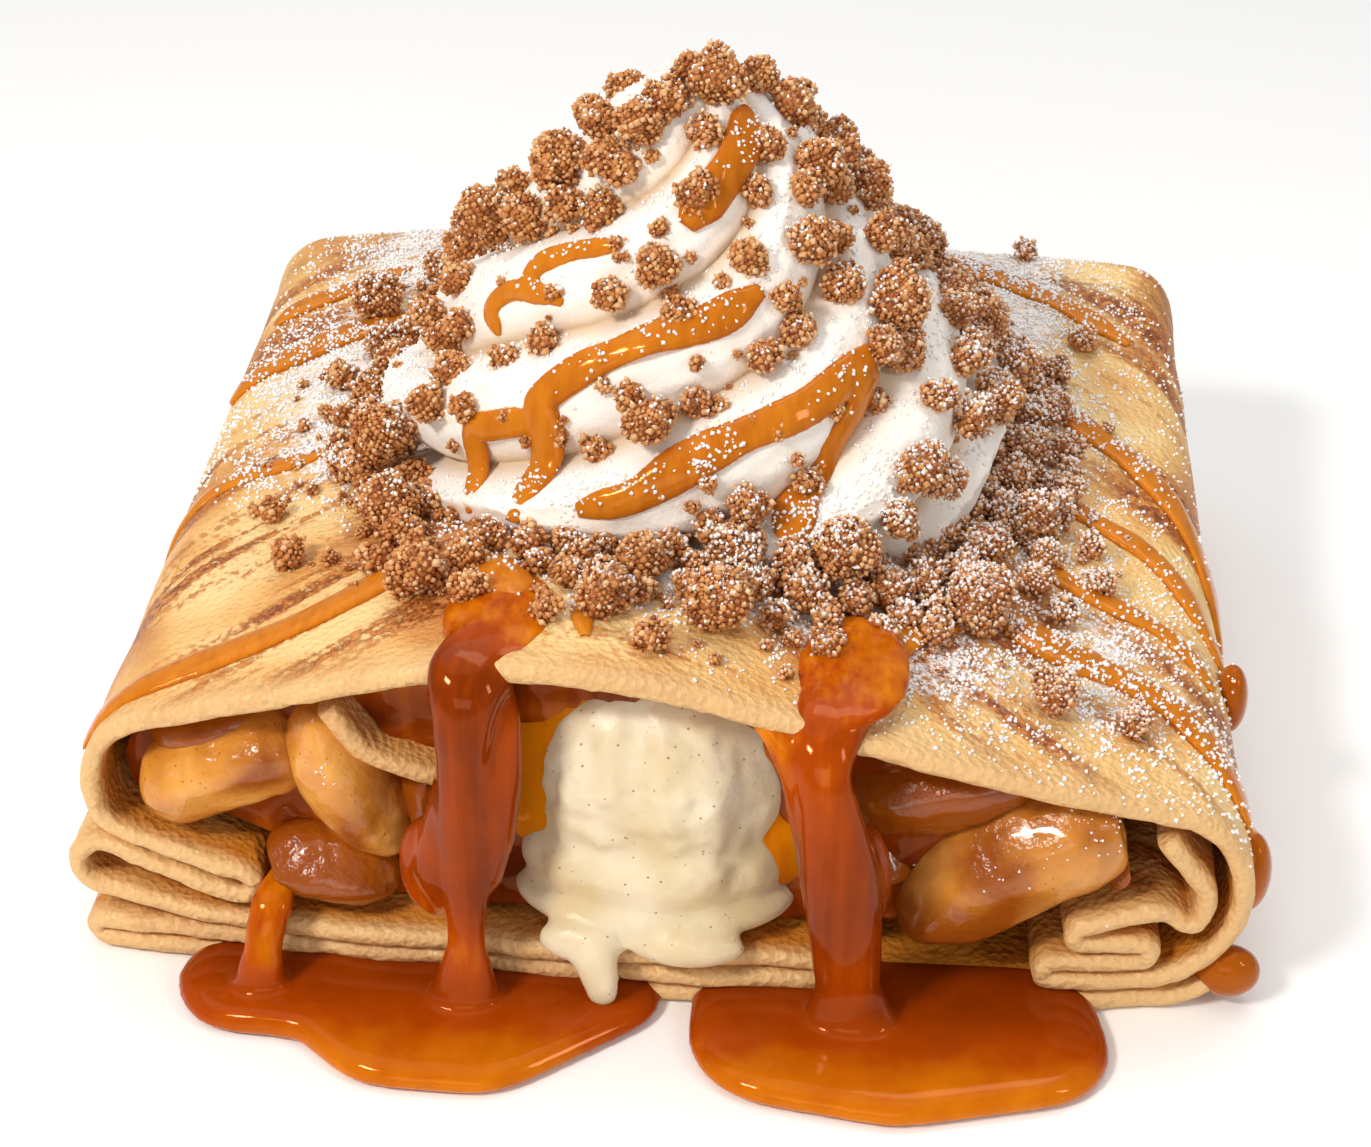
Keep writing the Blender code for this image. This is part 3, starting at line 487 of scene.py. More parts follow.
def cream_material():
    """Whipped cream: matt white with fine bubbles, soft light through the crests."""
    material, tree, where = new_material("whipped_dairy_cream")
    white = ramp(tree, noise(tree, where, 9), [(0.3, "FAF0E4"), (0.7, "FFFAF3")])
    # painted shade: the grooves are drawn darker and warmer than the crests, as shade and light thrown back
    # from the caramel fall there
    surface(tree, blend(tree, held(tree, "groove"), white, "DCC09C"), noise(tree, where, 0.9, 4.0, 0.65),
            0.5, 0.5, Roughness=0.6, Subsurface_Radius=(1.0, 0.85, 0.7), Subsurface_Weight=0.25,
            Subsurface_Scale=1.5 * MM)
    return material


def seeds(tree, where, apart, low, high, size, start, end, strength):
    """Specks that lie here and there."""
    cells = add(tree, "ShaderNodeTexVoronoi", {"Vector": where, "Scale": 1 / apart}).outputs["Distance"]
    chosen = spread(tree, noise(tree, where, size), start, end, 0.0, strength)
    return calc(tree, "MULTIPLY", spread(tree, cells, low, high), chosen)


def ice_cream_material():
    """Vanilla ice cream: pale cream yellow, with seeds of about 0.3 mm and a wet, melting skin."""
    material, tree, where = new_material("vanilla_ice_cream")
    milk = ramp(tree, noise(tree, where, 12, 3.0), [(0.3, "D6C093"), (0.7, "E8DBC0")])
    specks = seeds(tree, where, 1.6, 0.15, 0.09, 2.3, 0.46, 0.52, 0.75)
    surface(tree, blend(tree, specks, milk, "7A5A34"), noise(tree, where, 1.6, 4.0, 0.6), 0.35, 0.5,
            Roughness=0.34, Subsurface_Radius=(1.0, 0.8, 0.5), Subsurface_Weight=0.45,
            Subsurface_Scale=1.8 * MM)
    return material


def caramel_material(name, thin, middle, thick, scatter):
    """Cooked caramel: glossy, golden where thin and red brown where thick, and it scatters light."""
    material, tree, where = new_material(name)
    shift = calc(tree, "MULTIPLY_ADD", noise(tree, where, 7, 3.0), 0.35, -0.17)
    # darker threads run down with the flow where the caramel hangs
    flow = add(tree, "ShaderNodeVectorMath", {0: where, 1: (0.6, 0.3, 0.035)}, operation="MULTIPLY")
    drawn = calc(tree, "MULTIPLY_ADD", noise(tree, flow.outputs[0], 1.0), 0.5, -0.25)
    hanging = spread(tree, add(tree, "ShaderNodeSeparateXYZ", {0: where}).outputs[2], 5.0, 14.0)
    shade = calc(tree, "ADD", held(tree, "thickness"), shift)
    shade = calc(tree, "MULTIPLY_ADD", hanging, drawn, shade)
    surface(tree, ramp(tree, shade, [(0.15, thin), (0.5, middle), (0.95, thick)]),
            noise(tree, where, 5, 1.0), 0.12, 1.0, Roughness=0.1,
            Subsurface_Radius=(1.0, 0.36, 0.08),
            Specular_IOR_Level=0.3, Specular_Tint=linear("FF9A4A"), Coat_Weight=0.12,
            Coat_Roughness=0.03, Subsurface_Weight=scatter, Subsurface_Scale=3.0 * MM)
    return material


def apple_material(name, light, middle, dark):
    """Apple baked in butter and sugar: amber flesh that scatters light, under a sticky glaze."""
    material, tree, where = new_material(name)
    stewed = noise(tree, where, 13, 3.0, distortion=0.4)
    # the glaze darkens the flesh; where a wedge faces down it also carries painted shade
    shade = calc(tree, "MULTIPLY_ADD", held(tree, "glaze"), 0.55, stewed)
    flesh = ramp(tree, shade, [(0.34, light), (0.58, middle), (0.9, dark)])
    # cinnamon specks of 0.2 to 0.5 mm
    specks = seeds(tree, where, 1.3, 0.16, 0.08, 2.6, 0.46, 0.54, 0.7)
    surface(tree, blend(tree, specks, flesh, "5A2A0E"), noise(tree, where, 1.9, 3.0), 0.45, 0.8,
            Subsurface_Radius=(1.0, 0.5, 0.15), Roughness=0.2, Specular_IOR_Level=0.25, Coat_Weight=0.4,
            Coat_Roughness=0.07, Subsurface_Weight=0.3, Subsurface_Scale=2.5 * MM)
    return material


def crumble_material():
    """Butter crumble: dry baked grains of mixed tan and brown, with painted shade from tan on top to dark
    brown in the gaps, and sugar on top.
    """
    material, tree, where = new_material("baked_butter_crumble")
    fine = noise(tree, where, 0.8, 3.0, 0.65)
    # the held grain value is a random tone per grain plus painted shade: the core and the grains that sit
    # low are drawn dark
    level = calc(tree, "ADD", held(tree, "grain"), calc(tree, "MULTIPLY_ADD", fine, 0.7, -0.32))
    baked = ramp(tree, level, [(0.0, "7A3E18"), (0.3, "B86E32"), (0.65, "D69454"), (1.0, "EDC28E")])
    # sugar grains that cling to the upper side
    facing = add(tree, "ShaderNodeNewGeometry").outputs["Normal"]
    up = add(tree, "ShaderNodeSeparateXYZ", {0: facing}).outputs[2]
    reach = calc(tree, "MULTIPLY", up, held(tree, "sugar"))
    amount = calc(tree, "MULTIPLY_ADD", reach, 0.3, noise(tree, where, 0.75))
    surface(tree, blend(tree, spread(tree, amount, 0.70, 0.8), baked, "F2E4DA"), fine, 0.7, 0.5,
            Roughness=0.62)
    return material


def sugar_material():
    """Powdered sugar: white, dry grains."""
    material, tree, where = new_material("powdered_sugar")
    white = ramp(tree, noise(tree, where, 4), [(0.3, "F6F0EC"), (0.7, "FFFFFF")])
    shader = tree.nodes["Principled BSDF"]
    tree.links.new(white, shader.inputs["Base Color"])
    shader.inputs["Roughness"].default_value = 0.45
    return material


CREPE = crepe_material()
WHIPPED = cream_material()
VANILLA = ice_cream_material()
CARAMEL = caramel_material("cooked_caramel", "D67C0A", "A84203", "782A02", 0.25)
DRIZZLE = caramel_material("caramel_drizzle", "CC7A1C", "AC5A10", "8A3E06", 0.25)
SAUCE = caramel_material("apple_cooking_sauce", "B45A0A", "8E3A05", "602204", 0.2)
APPLE = apple_material("glazed_baked_apple", "EAB05C", "D28C36", "984E10")
DARK_APPLE = apple_material("dark_glazed_apple", "D8862A", "C06A18", "94480A")
CRUMBLE = crumble_material()
SUGAR = sugar_material()


# The crepe


def front_edge(x):
    """How far forward the open end reaches at x."""
    return -FRONT - FRONT_BULGE * (1 - (x / HALF_WIDTH) ** 2)


def behind_edge(points):
    """How far points lie behind the open end's edge."""
    return points[:, 1] - front_edge(points[:, 0])


def station(front, back, share, inset=0.0, reach=0.0):
    """One cross-section of the crepe, as points in space."""
    wide = 1 - inset / HALF_WIDTH
    tall = 1 - inset / HALF_HEIGHT
    flat = front + (back - front) * max(0.0, share) ** BLEND_POWER
    x = flat[:, 0] * wide
    z = (flat[:, 1] - HALF_HEIGHT) * tall + HALF_HEIGHT
    y = front_edge(x) * (1 - share) + BACK * share + reach
    rise = 0.7 * np.sin(x / 19.0 + 0.6) * np.cos(y / 27.0) + 0.5 * np.sin(y / 21.0 + x / 31.0)
    return np.stack([x, y, z + rise * (np.maximum(0.0, z) / 58.0) ** 2], axis=1)


def soften(path):
    """Move all but the ends of a path a little towards their neighbours."""
    path[1:-1] = (path[:-2] + 2 * path[1:-1] + path[2:]) / 4


def paired(front_pins, back_pins, offset, rounds=0, **options):
    """The belt at the front and at the back, with matching points and softened bends."""
    counts = belt(front_pins, 0.0, **options)[1]
    front = np.array(belt(front_pins, offset, counts=counts, **options)[0])
    back = np.array(belt(back_pins, offset, counts=counts, **options)[0])
    for turn in range(rounds):
        soften(front)
        soften(back)
    return front, back


FRONT_PINS = UNDER_PINS + ARCH_FRONT + [RIGHT_PIN] + TUCKED_PINS
BACK_PINS = [back_fold(pin) for pin in UNDER_PINS + ARCH_BACK + [RIGHT_PIN] + TUCKED_PINS]
OUTLINE_FRONT = OUTLINE_LEFT + ARCH_FRONT + OUTLINE_RIGHT
OUTLINE_BACK = [back_fold(pin) for pin in OUTLINE_LEFT + ARCH_BACK + OUTLINE_RIGHT]


def sugar_cover(points, normals):
    """How much powdered sugar has fallen on points of the crepe, from 0 to 1."""
    x, y = points[:, 0], points[:, 1]
    reach = np.hypot(x, y * 1.02)
    ring = np.clip((82 - reach) / 24, 0, 1)
    right = np.clip(1.25 - np.hypot((x - 48) / 42, (y + 50) / 34), 0, 1)
    rear = np.clip((y - 20) / 25, 0, 1) * np.clip((84 - np.abs(x)) / 26, 0, 1)
    plain = np.clip(1.45 - np.hypot((x + 62) / 40, (y + 64) / 34), 0, 1)
    middle = np.clip(1.2 - np.hypot(x / 26, (y + 76) / 10), 0, 1) * 0.6
    left = 1.3 * np.clip(1.3 - np.hypot((x + 60) / 24, (y - 12) / 42), 0, 1)
    cover = np.maximum.reduce([ring * 1.2, right * 1.15, rear, left]) - plain - middle
    cover *= 0.8 + 0.5 * rough(points, 15.0, 40)
    cover *= np.clip((y - front_edge(x) - 5) / 10, 0, 1)
    return np.clip(cover, 0, 1) * np.clip((normals[:, 2] - 0.35) / 0.35, 0, 1)


def both_skins(offset):
    """The sheet's two skins as one loop, at the front and at the back of the crepe."""
    options = {"start": FREE_END, "end": INNER_END, "chord": 1.3, "run": 1.7, "arc": 9.0, "rounds": 5}
    upper = paired(FRONT_PINS, BACK_PINS, -offset, **options)
    lower = paired(FRONT_PINS, BACK_PINS, offset, **options)
    return [np.concatenate([above, below[::-1]]) for above, below in zip(upper, lower)]


def make_crepe():
    """The long sheet in its folds, with a pearled rim at the open end and a tucked-in back."""
    rings = []
    ends = []
    half = SHEET / 2
    for turn in (80, 62, 44, 26, 10):
        slope = math.radians(turn)
        skins = both_skins(half * math.cos(slope))
        rings.append(station(*skins, 0.0, reach=half * (1 - math.sin(slope))))
        ends.append(1.0)
    skins = both_skins(half)
    for share in np.linspace(0.014, 0.965, 78):
        rings.append(station(*skins, share, reach=half * (1 - share)))
        ends.append(max(0.0, 1 - share / 0.05))
    count = len(skins[0])
    steps = count // 2
    sheet_rings = len(rings)
    points = np.concatenate(rings)
    edge = np.repeat(np.array(ends), count)
    walk = np.tile(np.concatenate([np.arange(steps), np.arange(steps)[::-1]]), len(rings)) * 1.5
    lane = np.stack([walk, np.zeros(len(walk)), np.zeros(len(walk))], axis=1)
    depth = np.clip(behind_edge(points) / 30.0, 0, 1)
    points[:, 1] += (1 - depth) * (0.6 * rough(lane, 17.0, 3) + 0.35 * rough(lane, 6.0, 4))
    points += jitter(points, 9.0, 10) * 0.3
    points += edge[:, None] * (jitter(points, 1.6, 20) * 0.2 + jitter(points, 3.4, 30) * 0.12)
    faces = [list(face) for face in grid_faces(len(rings), count)]
    for row in (0, len(rings) - 1):
        start = row * count
        for i in range(steps - 1):
            faces.append([start + i, start + i + 1, start + count - 2 - i, start + count - 1 - i])
    sheet = (points, faces)

    rings = []
    for share, sink in ((0.92, 0.5), (0.945, 0.25), (0.965, 0.0), (0.985, -0.05), (1.0, -0.05)):
        pair = paired(OUTLINE_FRONT, OUTLINE_BACK, half - sink, closed=True)
        rings.append(station(*pair, share))
    pair = paired(OUTLINE_FRONT, OUTLINE_BACK, half, closed=True)
    for turn in range(9, 91, 9):
        slope = math.radians(turn)
        rings.append(station(*pair, 1.0, BACK_ROUND * (1 - math.cos(slope)), BACK_ROUND * math.sin(slope)))
    middle = rings[-1].mean(axis=0)
    last = rings[-1]
    rings += [middle + (last - middle) * shrink for shrink in np.linspace(0.95, 0.02, 26)]
    tuck = np.concatenate(rings)
    flat = np.clip((tuck[:, 1] - BACK) / BACK_ROUND, 0, 1)
    fold = np.abs(tuck[:, 2] - 30 - 0.12 * tuck[:, 0] + 1.6 * rough(tuck, 20.0, 60))
    lip = np.clip(1 - fold / 1.6, 0, 1) * (np.abs(tuck[:, 0]) < 72)
    tuck[:, 1] -= flat * (1.6 * lip + 0.9 * (rough(tuck, 22.0, 50) + 1) + 0.25 * rough(tuck, 5.0, 51))
    tuck += jitter(tuck, 9.0, 10) * 0.3 * (1 - flat)[:, None]
    columns = len(rings[0])
    points, faces = joined([sheet, (tuck, closed_faces(len(rings), columns))])
    crepe = make_object("crepe_sheet", points, faces, CREPE)
    normals = normals_of(crepe)
    points = points_of(crepe)
    inner = np.zeros(len(points))
    side_of = np.concatenate([np.ones(steps), np.zeros(steps)])
    inner[:len(side_of) * sheet_rings] = np.tile(side_of, sheet_rings)
    mark(crepe, "sugar", sugar_cover(points, normals) * (1 - inner) * (points[:, 2] > 30))
    behind = behind_edge(points)
    fresh = np.clip((behind - 1.5) / 8.0, 0, 1)
    streaked = 1 + np.clip((10 - points[:, 0]) / 50, 0, 1) * np.clip((20 - points[:, 1]) / 40, 0, 1)
    streaked -= 0.5 * np.clip((points[:, 1] - 58) / 12, 0, 1)
    mark(crepe, "browning", (1 - 0.8 * inner) * (0.12 + 0.88 * fresh) * streaked)
    # syrup on the sides that face the filling, and painted shade on them and on the low folds near the floor
    low = 0.55 * np.clip((26 - points[:, 2]) / 14, 0, 1)
    rim = np.clip((behind - 0.6) / 2.5, 0, 1)
    mark(crepe, "syrup_and_shade", np.maximum(inner, low) * rim)
    mark(crepe, "rim", 1 - np.clip((behind - 1.0) / 6.0, 0, 1))
    return crepe


crepe = make_crepe()
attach(crepe, "root")
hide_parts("crepe")
crepe_tree = search_tree(crepe)


def make_flap():
    """The edge of an inner layer that hangs in the opening."""
    pins = [(-36.5, 48.5, 9.0, CCW)]
    options = {"start": (-47.5, 49.2), "end": (-28.5, 36.6), "chord": 1.0, "run": 1.2}
    counts = belt(pins, 0.0, **options)[1]
    rings = []
    for y, share in ((-79.1, 0.35), (-78.8, 0.75), (-78.2, 1.0), *((y, 1.0) for y in range(-77, -48, 2))):
        over = belt(pins, -SHEET / 2 * share, counts=counts, **options)[0]
        under = belt(pins, SHEET / 2 * share, counts=counts, **options)[0]
        ring = np.array(over + under[::-1])
        rings.append(np.stack([ring[:, 0], np.full(len(ring), float(y)), ring[:, 1]], axis=1))
    points = np.concatenate(rings)
    edge = np.clip((-76.0 - points[:, 1]) / 2, 0, 1)
    points += jitter(points, 5.0, 70) * 0.25 + edge[:, None] * jitter(points, 1.4, 80) * 0.2
    flap = make_object("inner_fold", points, closed_faces(len(rings), len(rings[0])), CREPE)
    for name, level in (("sugar", 0.0), ("browning", 0.5), ("syrup_and_shade", 0.25)):
        mark(flap, name, np.full(len(points), level))
    mark(flap, "rim", edge)
    return flap


flap = make_flap()
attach(flap, "root")
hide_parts("inner_layer")


# The whipped cream


def cream_ridge(angle, height):
    """Where a place lies across a rib: its share of the way up, and its rise from 0 to 1."""
    plain = np.stack([np.cos(angle) * 30, np.sin(angle) * 30, height], axis=-1)
    drift = 0.10 * rough(plain, 24.0, 90)
    phase = height / CREAM_PITCH - CREAM_STARTS * angle / (2 * np.pi) + drift
    saw = phase % 1.0
    slope = np.clip(saw / 0.76, 0, 1)
    ledge = np.clip((1 - saw) / 0.24, 0, 1)
    return phase, saw, np.minimum(np.sin(slope * np.pi / 2) ** 0.8, np.sin(ledge * np.pi / 2))


def cream_shape(angle, height, grow=0.0):
    """Points of the winding ribs: each is a soft roll with a ledge above its crest."""
    plain = np.stack([np.cos(angle) * 30, np.sin(angle) * 30, height], axis=-1)
    phase, saw, ridge = cream_ridge(angle, height)
    share = (CREAM_TOP - height) / (CREAM_TOP - CREAM_LOW)
    depth = 2.4 + 5.4 * np.minimum(1.0, 1.6 * share)
    fade = np.clip((CREAM_TOP + 1.0 - height) / 8, 0.05, 1.0)
    heights, radii = zip(*CREAM_PROFILE)
    radius = np.interp(height, heights, radii) + (ridge - 0.6) * depth * np.maximum(0.2, fade) + grow
    flutes = 0.22 * np.sin(8 * np.pi * phase) * (0.5 + 0.5 * rough(plain, 14.0, 91))
    radius = np.maximum(0.4, radius + flutes * fade)
    crest = np.clip(1 - np.abs(saw - 0.78) / 0.12, 0, 1)
    points = np.stack([radius * np.cos(angle), radius * np.sin(angle), height], axis=-1)
    ragged = 0.45 * crest * rough(points, 1.4, 92) + 0.2 * rough(points, 2.6, 93)
    points[:, 0] += np.cos(angle) * ragged * fade
    points[:, 1] += np.sin(angle) * ragged * fade
    points[:, 2] += 0.45 * crest * rough(points, 1.6, 94) * fade
    return points


def make_cream():
    """The piped swirl on the crepe."""
    around, rows = 400, 210
    angles = 2 * np.pi * np.arange(around) / around
    base = []
    for angle in angles:
        foot = Vector((47.0 * math.cos(angle), 47.0 * math.sin(angle), 100.0))
        base.append(crepe_tree.ray_cast(foot, Vector((0, 0, -1)))[0].z - 1.4)
    base = np.array(base)
    shares = np.linspace(0, 1, rows)
    height = (base[None, :] * (1 - shares[:, None]) + CREAM_TOP * shares[:, None]).ravel()
    points = cream_shape(np.tile(angles, rows), height)
    swirl = make_object("whipped_cream_swirl", points, closed_faces(rows, around), WHIPPED)
    ridge = cream_ridge(np.tile(angles, rows), height)[2]
    # painted shade for the grooves, which the material draws darker and warmer
    mark(swirl, "groove", np.clip(1 - ridge * 1.7, 0, 1))
    return swirl


cream = make_cream()
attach(cream, "root")
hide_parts("whipped_cream")
cream_tree = search_tree(cream)


# The ice cream


def make_scoop():
    """The scoop with the grooves that the spoon tore, and its melted foot."""
    parts = []
    points, faces = SPHERES[5]
    points = points * np.array(SCOOP_RADII) + np.array(SCOOP_CENTRE)
    parts.append((points, faces))
    parts.append(ball((-0.5, -69.5, 22.0), (21.6, 14.6, 11.5), 4))
    parts.append(ball((-0.5, -73.5, 15.5), (21.6, 11.0, 5.6), 4))
    parts.append(ball((-10.5, -83.2, 12.4), (7.0, 3.4, 3.6)))
    parts.append(ball((5.0, -83.6, 12.6), (9.0, 3.4, 3.4)))
    drip = smooth_path([(-9.5, -83.5, 13.0), (-8.6, -85.4, 11.0), (-7.8, -86.4, 8.0), (-7.4, -86.8, 5.6)], 6)
    radii = np.interp(np.arange(len(drip)), (0, 8, len(drip) - 1), (4.6, 3.4, 2.6))
    parts.append(strand(drip, [(0, -1, 0.3)] * len(drip), radii, 0.75))
    parts.append(ball((-7.4, -86.6, 5.4), (2.6, 2.0, 2.8)))
    points, faces = joined(parts)
    scoop = make_object("ice_cream_scoop", points, faces, VANILLA)
    melt_together(scoop, 0.6, 16)
    points = points_of(scoop)
    normals = normals_of(scoop)
    x, z = points[:, 0], points[:, 2]
    upper = np.clip((z - 17.0) / 8.0, 0, 1)
    bend = x + 1.8 * np.sin(z / 9.0) + 0.08 * (z - 34)
    groove = np.sin(bend / 2.7) + 0.45 * np.sin(bend / 1.2 + 1.0)
    swell = 0.85 * groove * (0.35 + 0.65 * (0.5 + 0.5 * rough(points, 15.0, 100)))
    torn = 0.45 * rough(points, 2.2, 101) + 0.6 * rough(points, 8.0, 102)
    facing = np.clip((-normals[:, 1] - 0.55) / 0.3, 0, 1)
    points += normals * (upper * facing * (swell + torn) + 0.12 * facing * rough(points, 3.0, 103))[:, None]
    move_points(scoop, points)
    return scoop


scoop = make_scoop()
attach(scoop, "root")
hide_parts("ice_cream")


# The apples and the sauce between them


def room_rings(shares):
    """Cross-sections of the space inside the crepe."""
    front_pins = ROOM_LEFT + [(p[0], p[1], p[2] - INSIDE, p[3]) for p in ARCH_FRONT[:2]] + ROOM_RIGHT
    back_pins = ROOM_LEFT + [(p[0], p[1], p[2] - INSIDE, p[3]) for p in ARCH_BACK[:2]] + ROOM_RIGHT
    back_pins = [back_fold(pin) for pin in back_pins]
    front, back = paired(front_pins, back_pins, 0.0, closed=True)
    return [station(front, back, share) for share in shares]


def make_sauce():
    """The sauce through the whole roll, lumpy where it shows in the opening."""
    mouth = 0.055
    deep_rows = 30
    rings = room_rings(np.linspace(0.9, mouth, deep_rows))
    front = rings[-1]
    middle = front.mean(axis=0)
    for shrink in np.linspace(0.98, 0.02, 56):
        ring = middle + (front - middle) * shrink
        ring[:, 1] = front_edge(ring[:, 0]) * 0.945 + BACK * mouth
        rings.append(ring)
    points = np.concatenate(rings)
    count = len(front)
    cap = np.arange(len(points)) >= deep_rows * count
    lumps = 1.5 * rough(points, 7.0, 110) + 0.7 * rough(points, 3.0, 111)
    points[:, 1] -= np.where(cap, lumps, 0.0)
    sauce = make_object("sauce_filling", points, closed_faces(len(rings), count), SAUCE)
    mark(sauce, "thickness", np.clip(0.6 + 0.5 * rough(points, 6.0, 112), 0, 1))
    return sauce


sauce = make_sauce()
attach(sauce, "root")
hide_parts("filling")

ROOM_SHARES = (-0.1, 0.0, 0.04, 0.25, 0.5)
room_points = np.concatenate(room_rings(ROOM_SHARES))
room_rows = len(ROOM_SHARES)
room_object = make_object("room", room_points, closed_faces(room_rows, len(room_points) // room_rows), SAUCE)
room_tree = search_tree(room_object)
bpy.data.objects.remove(room_object)


def keep_inside(points):
    """Bring points that lie outside the room back to its wall."""
    for index, point in enumerate(points):
        hit, normal, face, distance = room_tree.find_nearest(Vector(point))
        if (Vector(point) - hit).dot(normal) > 0:
            points[index] = hit - normal * 0.05


# Start and end in (x, z), place in y, width, depth, bend, lean, bluntness of the ends, glaze
APPLES = [
    ((-77.0, 37.5), (-56.5, 44.0), -69.0, 12.0, 14.0, 0.5, 0.0, 2.6, 1.0),
    ((-77.5, 29.2), (-53.0, 40.2), -73.5, 15.0, 14.0, -0.8, 0.3, 5.0, 0.12),
    ((-52.0, 47.0), (-40.0, 20.0), -74.0, 14.0, 14.0, 1.5, 0.2, 2.8, 0.2),
    ((-61.0, 18.5), (-39.0, 15.6), -74.5, 12.5, 14.0, -0.5, 0.0, 3.0, 0.65),
    ((-34.8, 38.0), (-33.0, 16.0), -71.5, 10.0, 12.0, 1.0, 0.0, 2.6, 0.9),
    ((23.5, 31.5), (57.5, 38.5), -71.0, 14.0, 14.0, 1.0, 0.3, 2.6, 0.95),
    ((36.5, 10.0), (69.5, 36.0), -74.5, 19.5, 15.5, -2.5, 0.25, 2.7, 0.5),
    ((26.0, 22.5), (38.5, 21.0), -71.0, 9.0, 12.0, 0.0, 0.0, 2.8, 0.9),
    ((67.6, 20.8), (71.4, 27.6), -73.0, 6.0, 9.0, 0.0, 0.0, 3.0, 0.7),
]


def make_apple(number, start, end, y, width, depth, bend, lean, blunt, glaze):
    """A wedge of apple, thick on its outer side and soft at its edges."""
    sides, rows = 56, 60
    along = np.array([end[0] - start[0], 0.0, end[1] - start[1]])
    length = np.linalg.norm(along)
    along /= length
    across = np.array([-along[2], 0.0, along[0]])
    across = across * math.cos(lean) + np.array([0, 1, 0]) * math.sin(lean)
    across /= np.linalg.norm(across)
    outward = np.cross(along, across)
    middle = np.array([(start[0] + end[0]) / 2, y, (start[1] + end[1]) / 2])
    rings = []
    turns = 2 * np.pi * np.arange(sides) / sides
    # a wedge has flat cuts that meet in soft creases
    skew = turns + 0.75
    square = (np.abs(np.cos(skew)) ** 2.7 + np.abs(np.sin(skew)) ** 2.7) ** (-1 / 2.7) / 1.04
    wide = np.cos(turns) * (1 - 0.2 * np.sin(turns))
    deep = np.sin(turns)
    for row in range(rows):
        u = -math.cos(math.pi * (row + 0.35) / (rows - 0.3))
        size = (1 - abs(u) ** blunt) ** 0.5
        centre = middle + along * (u * length / 2) + across * (bend * (u * u - 0.4))
        rings.append(centre + (np.outer(wide * square, across) * width / 2
                               + np.outer(deep * square, outward) * depth / 2) * size)
    points = np.concatenate(rings)
    wedge = make_object(f"apple_wedge_{number}", points, closed_faces(rows, sides),
                        DARK_APPLE if glaze > 0.6 else APPLE)
    points = points_of(wedge)
    normals = normals_of(wedge)
    fibres = 0.4 * rough(points, 5.5, 120 + number) + 0.2 * rough(points, 2.0, 140 + number)
    keep_inside(points)
    grid = points.reshape(rows, sides, 3)
    for turn in range(8):
        grid[1:-1] = (2 * grid[1:-1] + grid[:-2] + grid[2:] + np.roll(grid, 1, axis=1)[1:-1]
                      + np.roll(grid, -1, axis=1)[1:-1]) / 6
    points = grid.reshape(-1, 3) + normals * fibres[:, None]
    move_points(wedge, points)
    spread = np.clip(glaze + 0.5 * rough(points, 9.0, 160 + number), 0, 1)
    rim = np.clip(0.8 - np.linalg.norm(points - middle, axis=1) / length, 0, 1)
    # painted shade: the glaze value is raised where the wedge faces down, so undersides are drawn darker
    below = np.clip(-normals[:, 2] - 0.1, 0, 1)
    mark(wedge, "glaze", np.clip(spread + 0.7 * (0.5 - rim) + 0.4 * below, 0, 1))
    return wedge


SUGARED_APPLES = (3, 7)
wedges = []
for number, apple in enumerate(APPLES, 1):
    wedge = make_apple(number, *apple)
    if number in SUGARED_APPLES:
        wedges.append(wedge)
    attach(wedge, "root")
    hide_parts(f"apple_slice_{number}")


# Caramel


def pool_parts(pins):
    """A puddle with a rounded edge."""
    outline = np.array(belt(pins, 0.0, closed=True, arc=8.0, chord=1.2, run=1.2)[0])
    for turn in range(6):
        outline = (np.roll(outline, 1, axis=0) + 2 * outline + np.roll(outline, -1, axis=0)) / 4
    middle = outline.mean(axis=0)
    rings = []
    for inset, height in ((1.2, 0.0), (0.35, 0.25), (0.0, 0.8), (0.0, 1.4), (0.5, 2.3), (1.3, 3.1),
                          (2.8, 3.7), (5.0, 4.0), (8.0, POOL_HEIGHT)):
        ring = middle + (outline - middle) * (1 - inset / 22.0)
        rings.append(np.column_stack([ring, np.full(len(ring), height)]))
    last = rings[-1]
    for shrink in (0.75, 0.5, 0.25, 0.02):
        centre = last.mean(axis=0)
        rings.append(centre + (last - centre) * shrink)
    points = np.concatenate(rings)
    return points, closed_faces(len(rings), len(outline))


FULL_DEPTH = 9.0


def thickness_of(thing):
    """Measure how thick the caramel is below each point, as a share of the full depth."""
    tree = search_tree(thing)
    values = []
    for point, normal in zip(points_of(thing), normals_of(thing)):
        inward = Vector(-normal)
        hit = tree.ray_cast(Vector(point) + inward * 0.1, inward)
        depth = min(1.0, hit[3] / FULL_DEPTH) if hit[0] else 1.0
        if point[2] < 7.0 and point[1] < -70.0:
            rear = min(1.0, max(0.0, (point[1] + 100.0) / 17.0))
            depth = 0.2 + 0.12 * min(1.0, point[2] / 4.0) + 0.5 * rear
        values.append(depth)
    values = np.array(values)
    pairs = np.empty(len(thing.data.edges) * 2, np.int32)
    thing.data.edges.foreach_get("vertices", pairs)
    first, second = pairs.reshape(-1, 2).T
    for turn in range(18):
        total = sum(np.bincount(a, values[b], len(values)) for a, b in ((first, second), (second, first)))
        near = np.bincount(pairs, minlength=len(values))
        values = (values + total) / (1 + near)
    return values


def over_edge(stops, radii, hanging=0.55):
    """A run of caramel: a thin sheet on the crepe that bends over its edge and hangs down."""
    path = smooth_path(stops, 6)
    spread = np.interp(np.arange(len(path)) / 6, range(len(radii)), radii)
    hang = np.clip((-path[:, 1] - 72.0) / 13.0, 0, 1)
    slope = hang * math.pi / 2
    normals = np.column_stack([np.zeros(len(path)), -np.sin(slope), np.cos(slope)])
    return strand(path, normals, spread, 0.3 + (hanging - 0.3) * hang, 18)


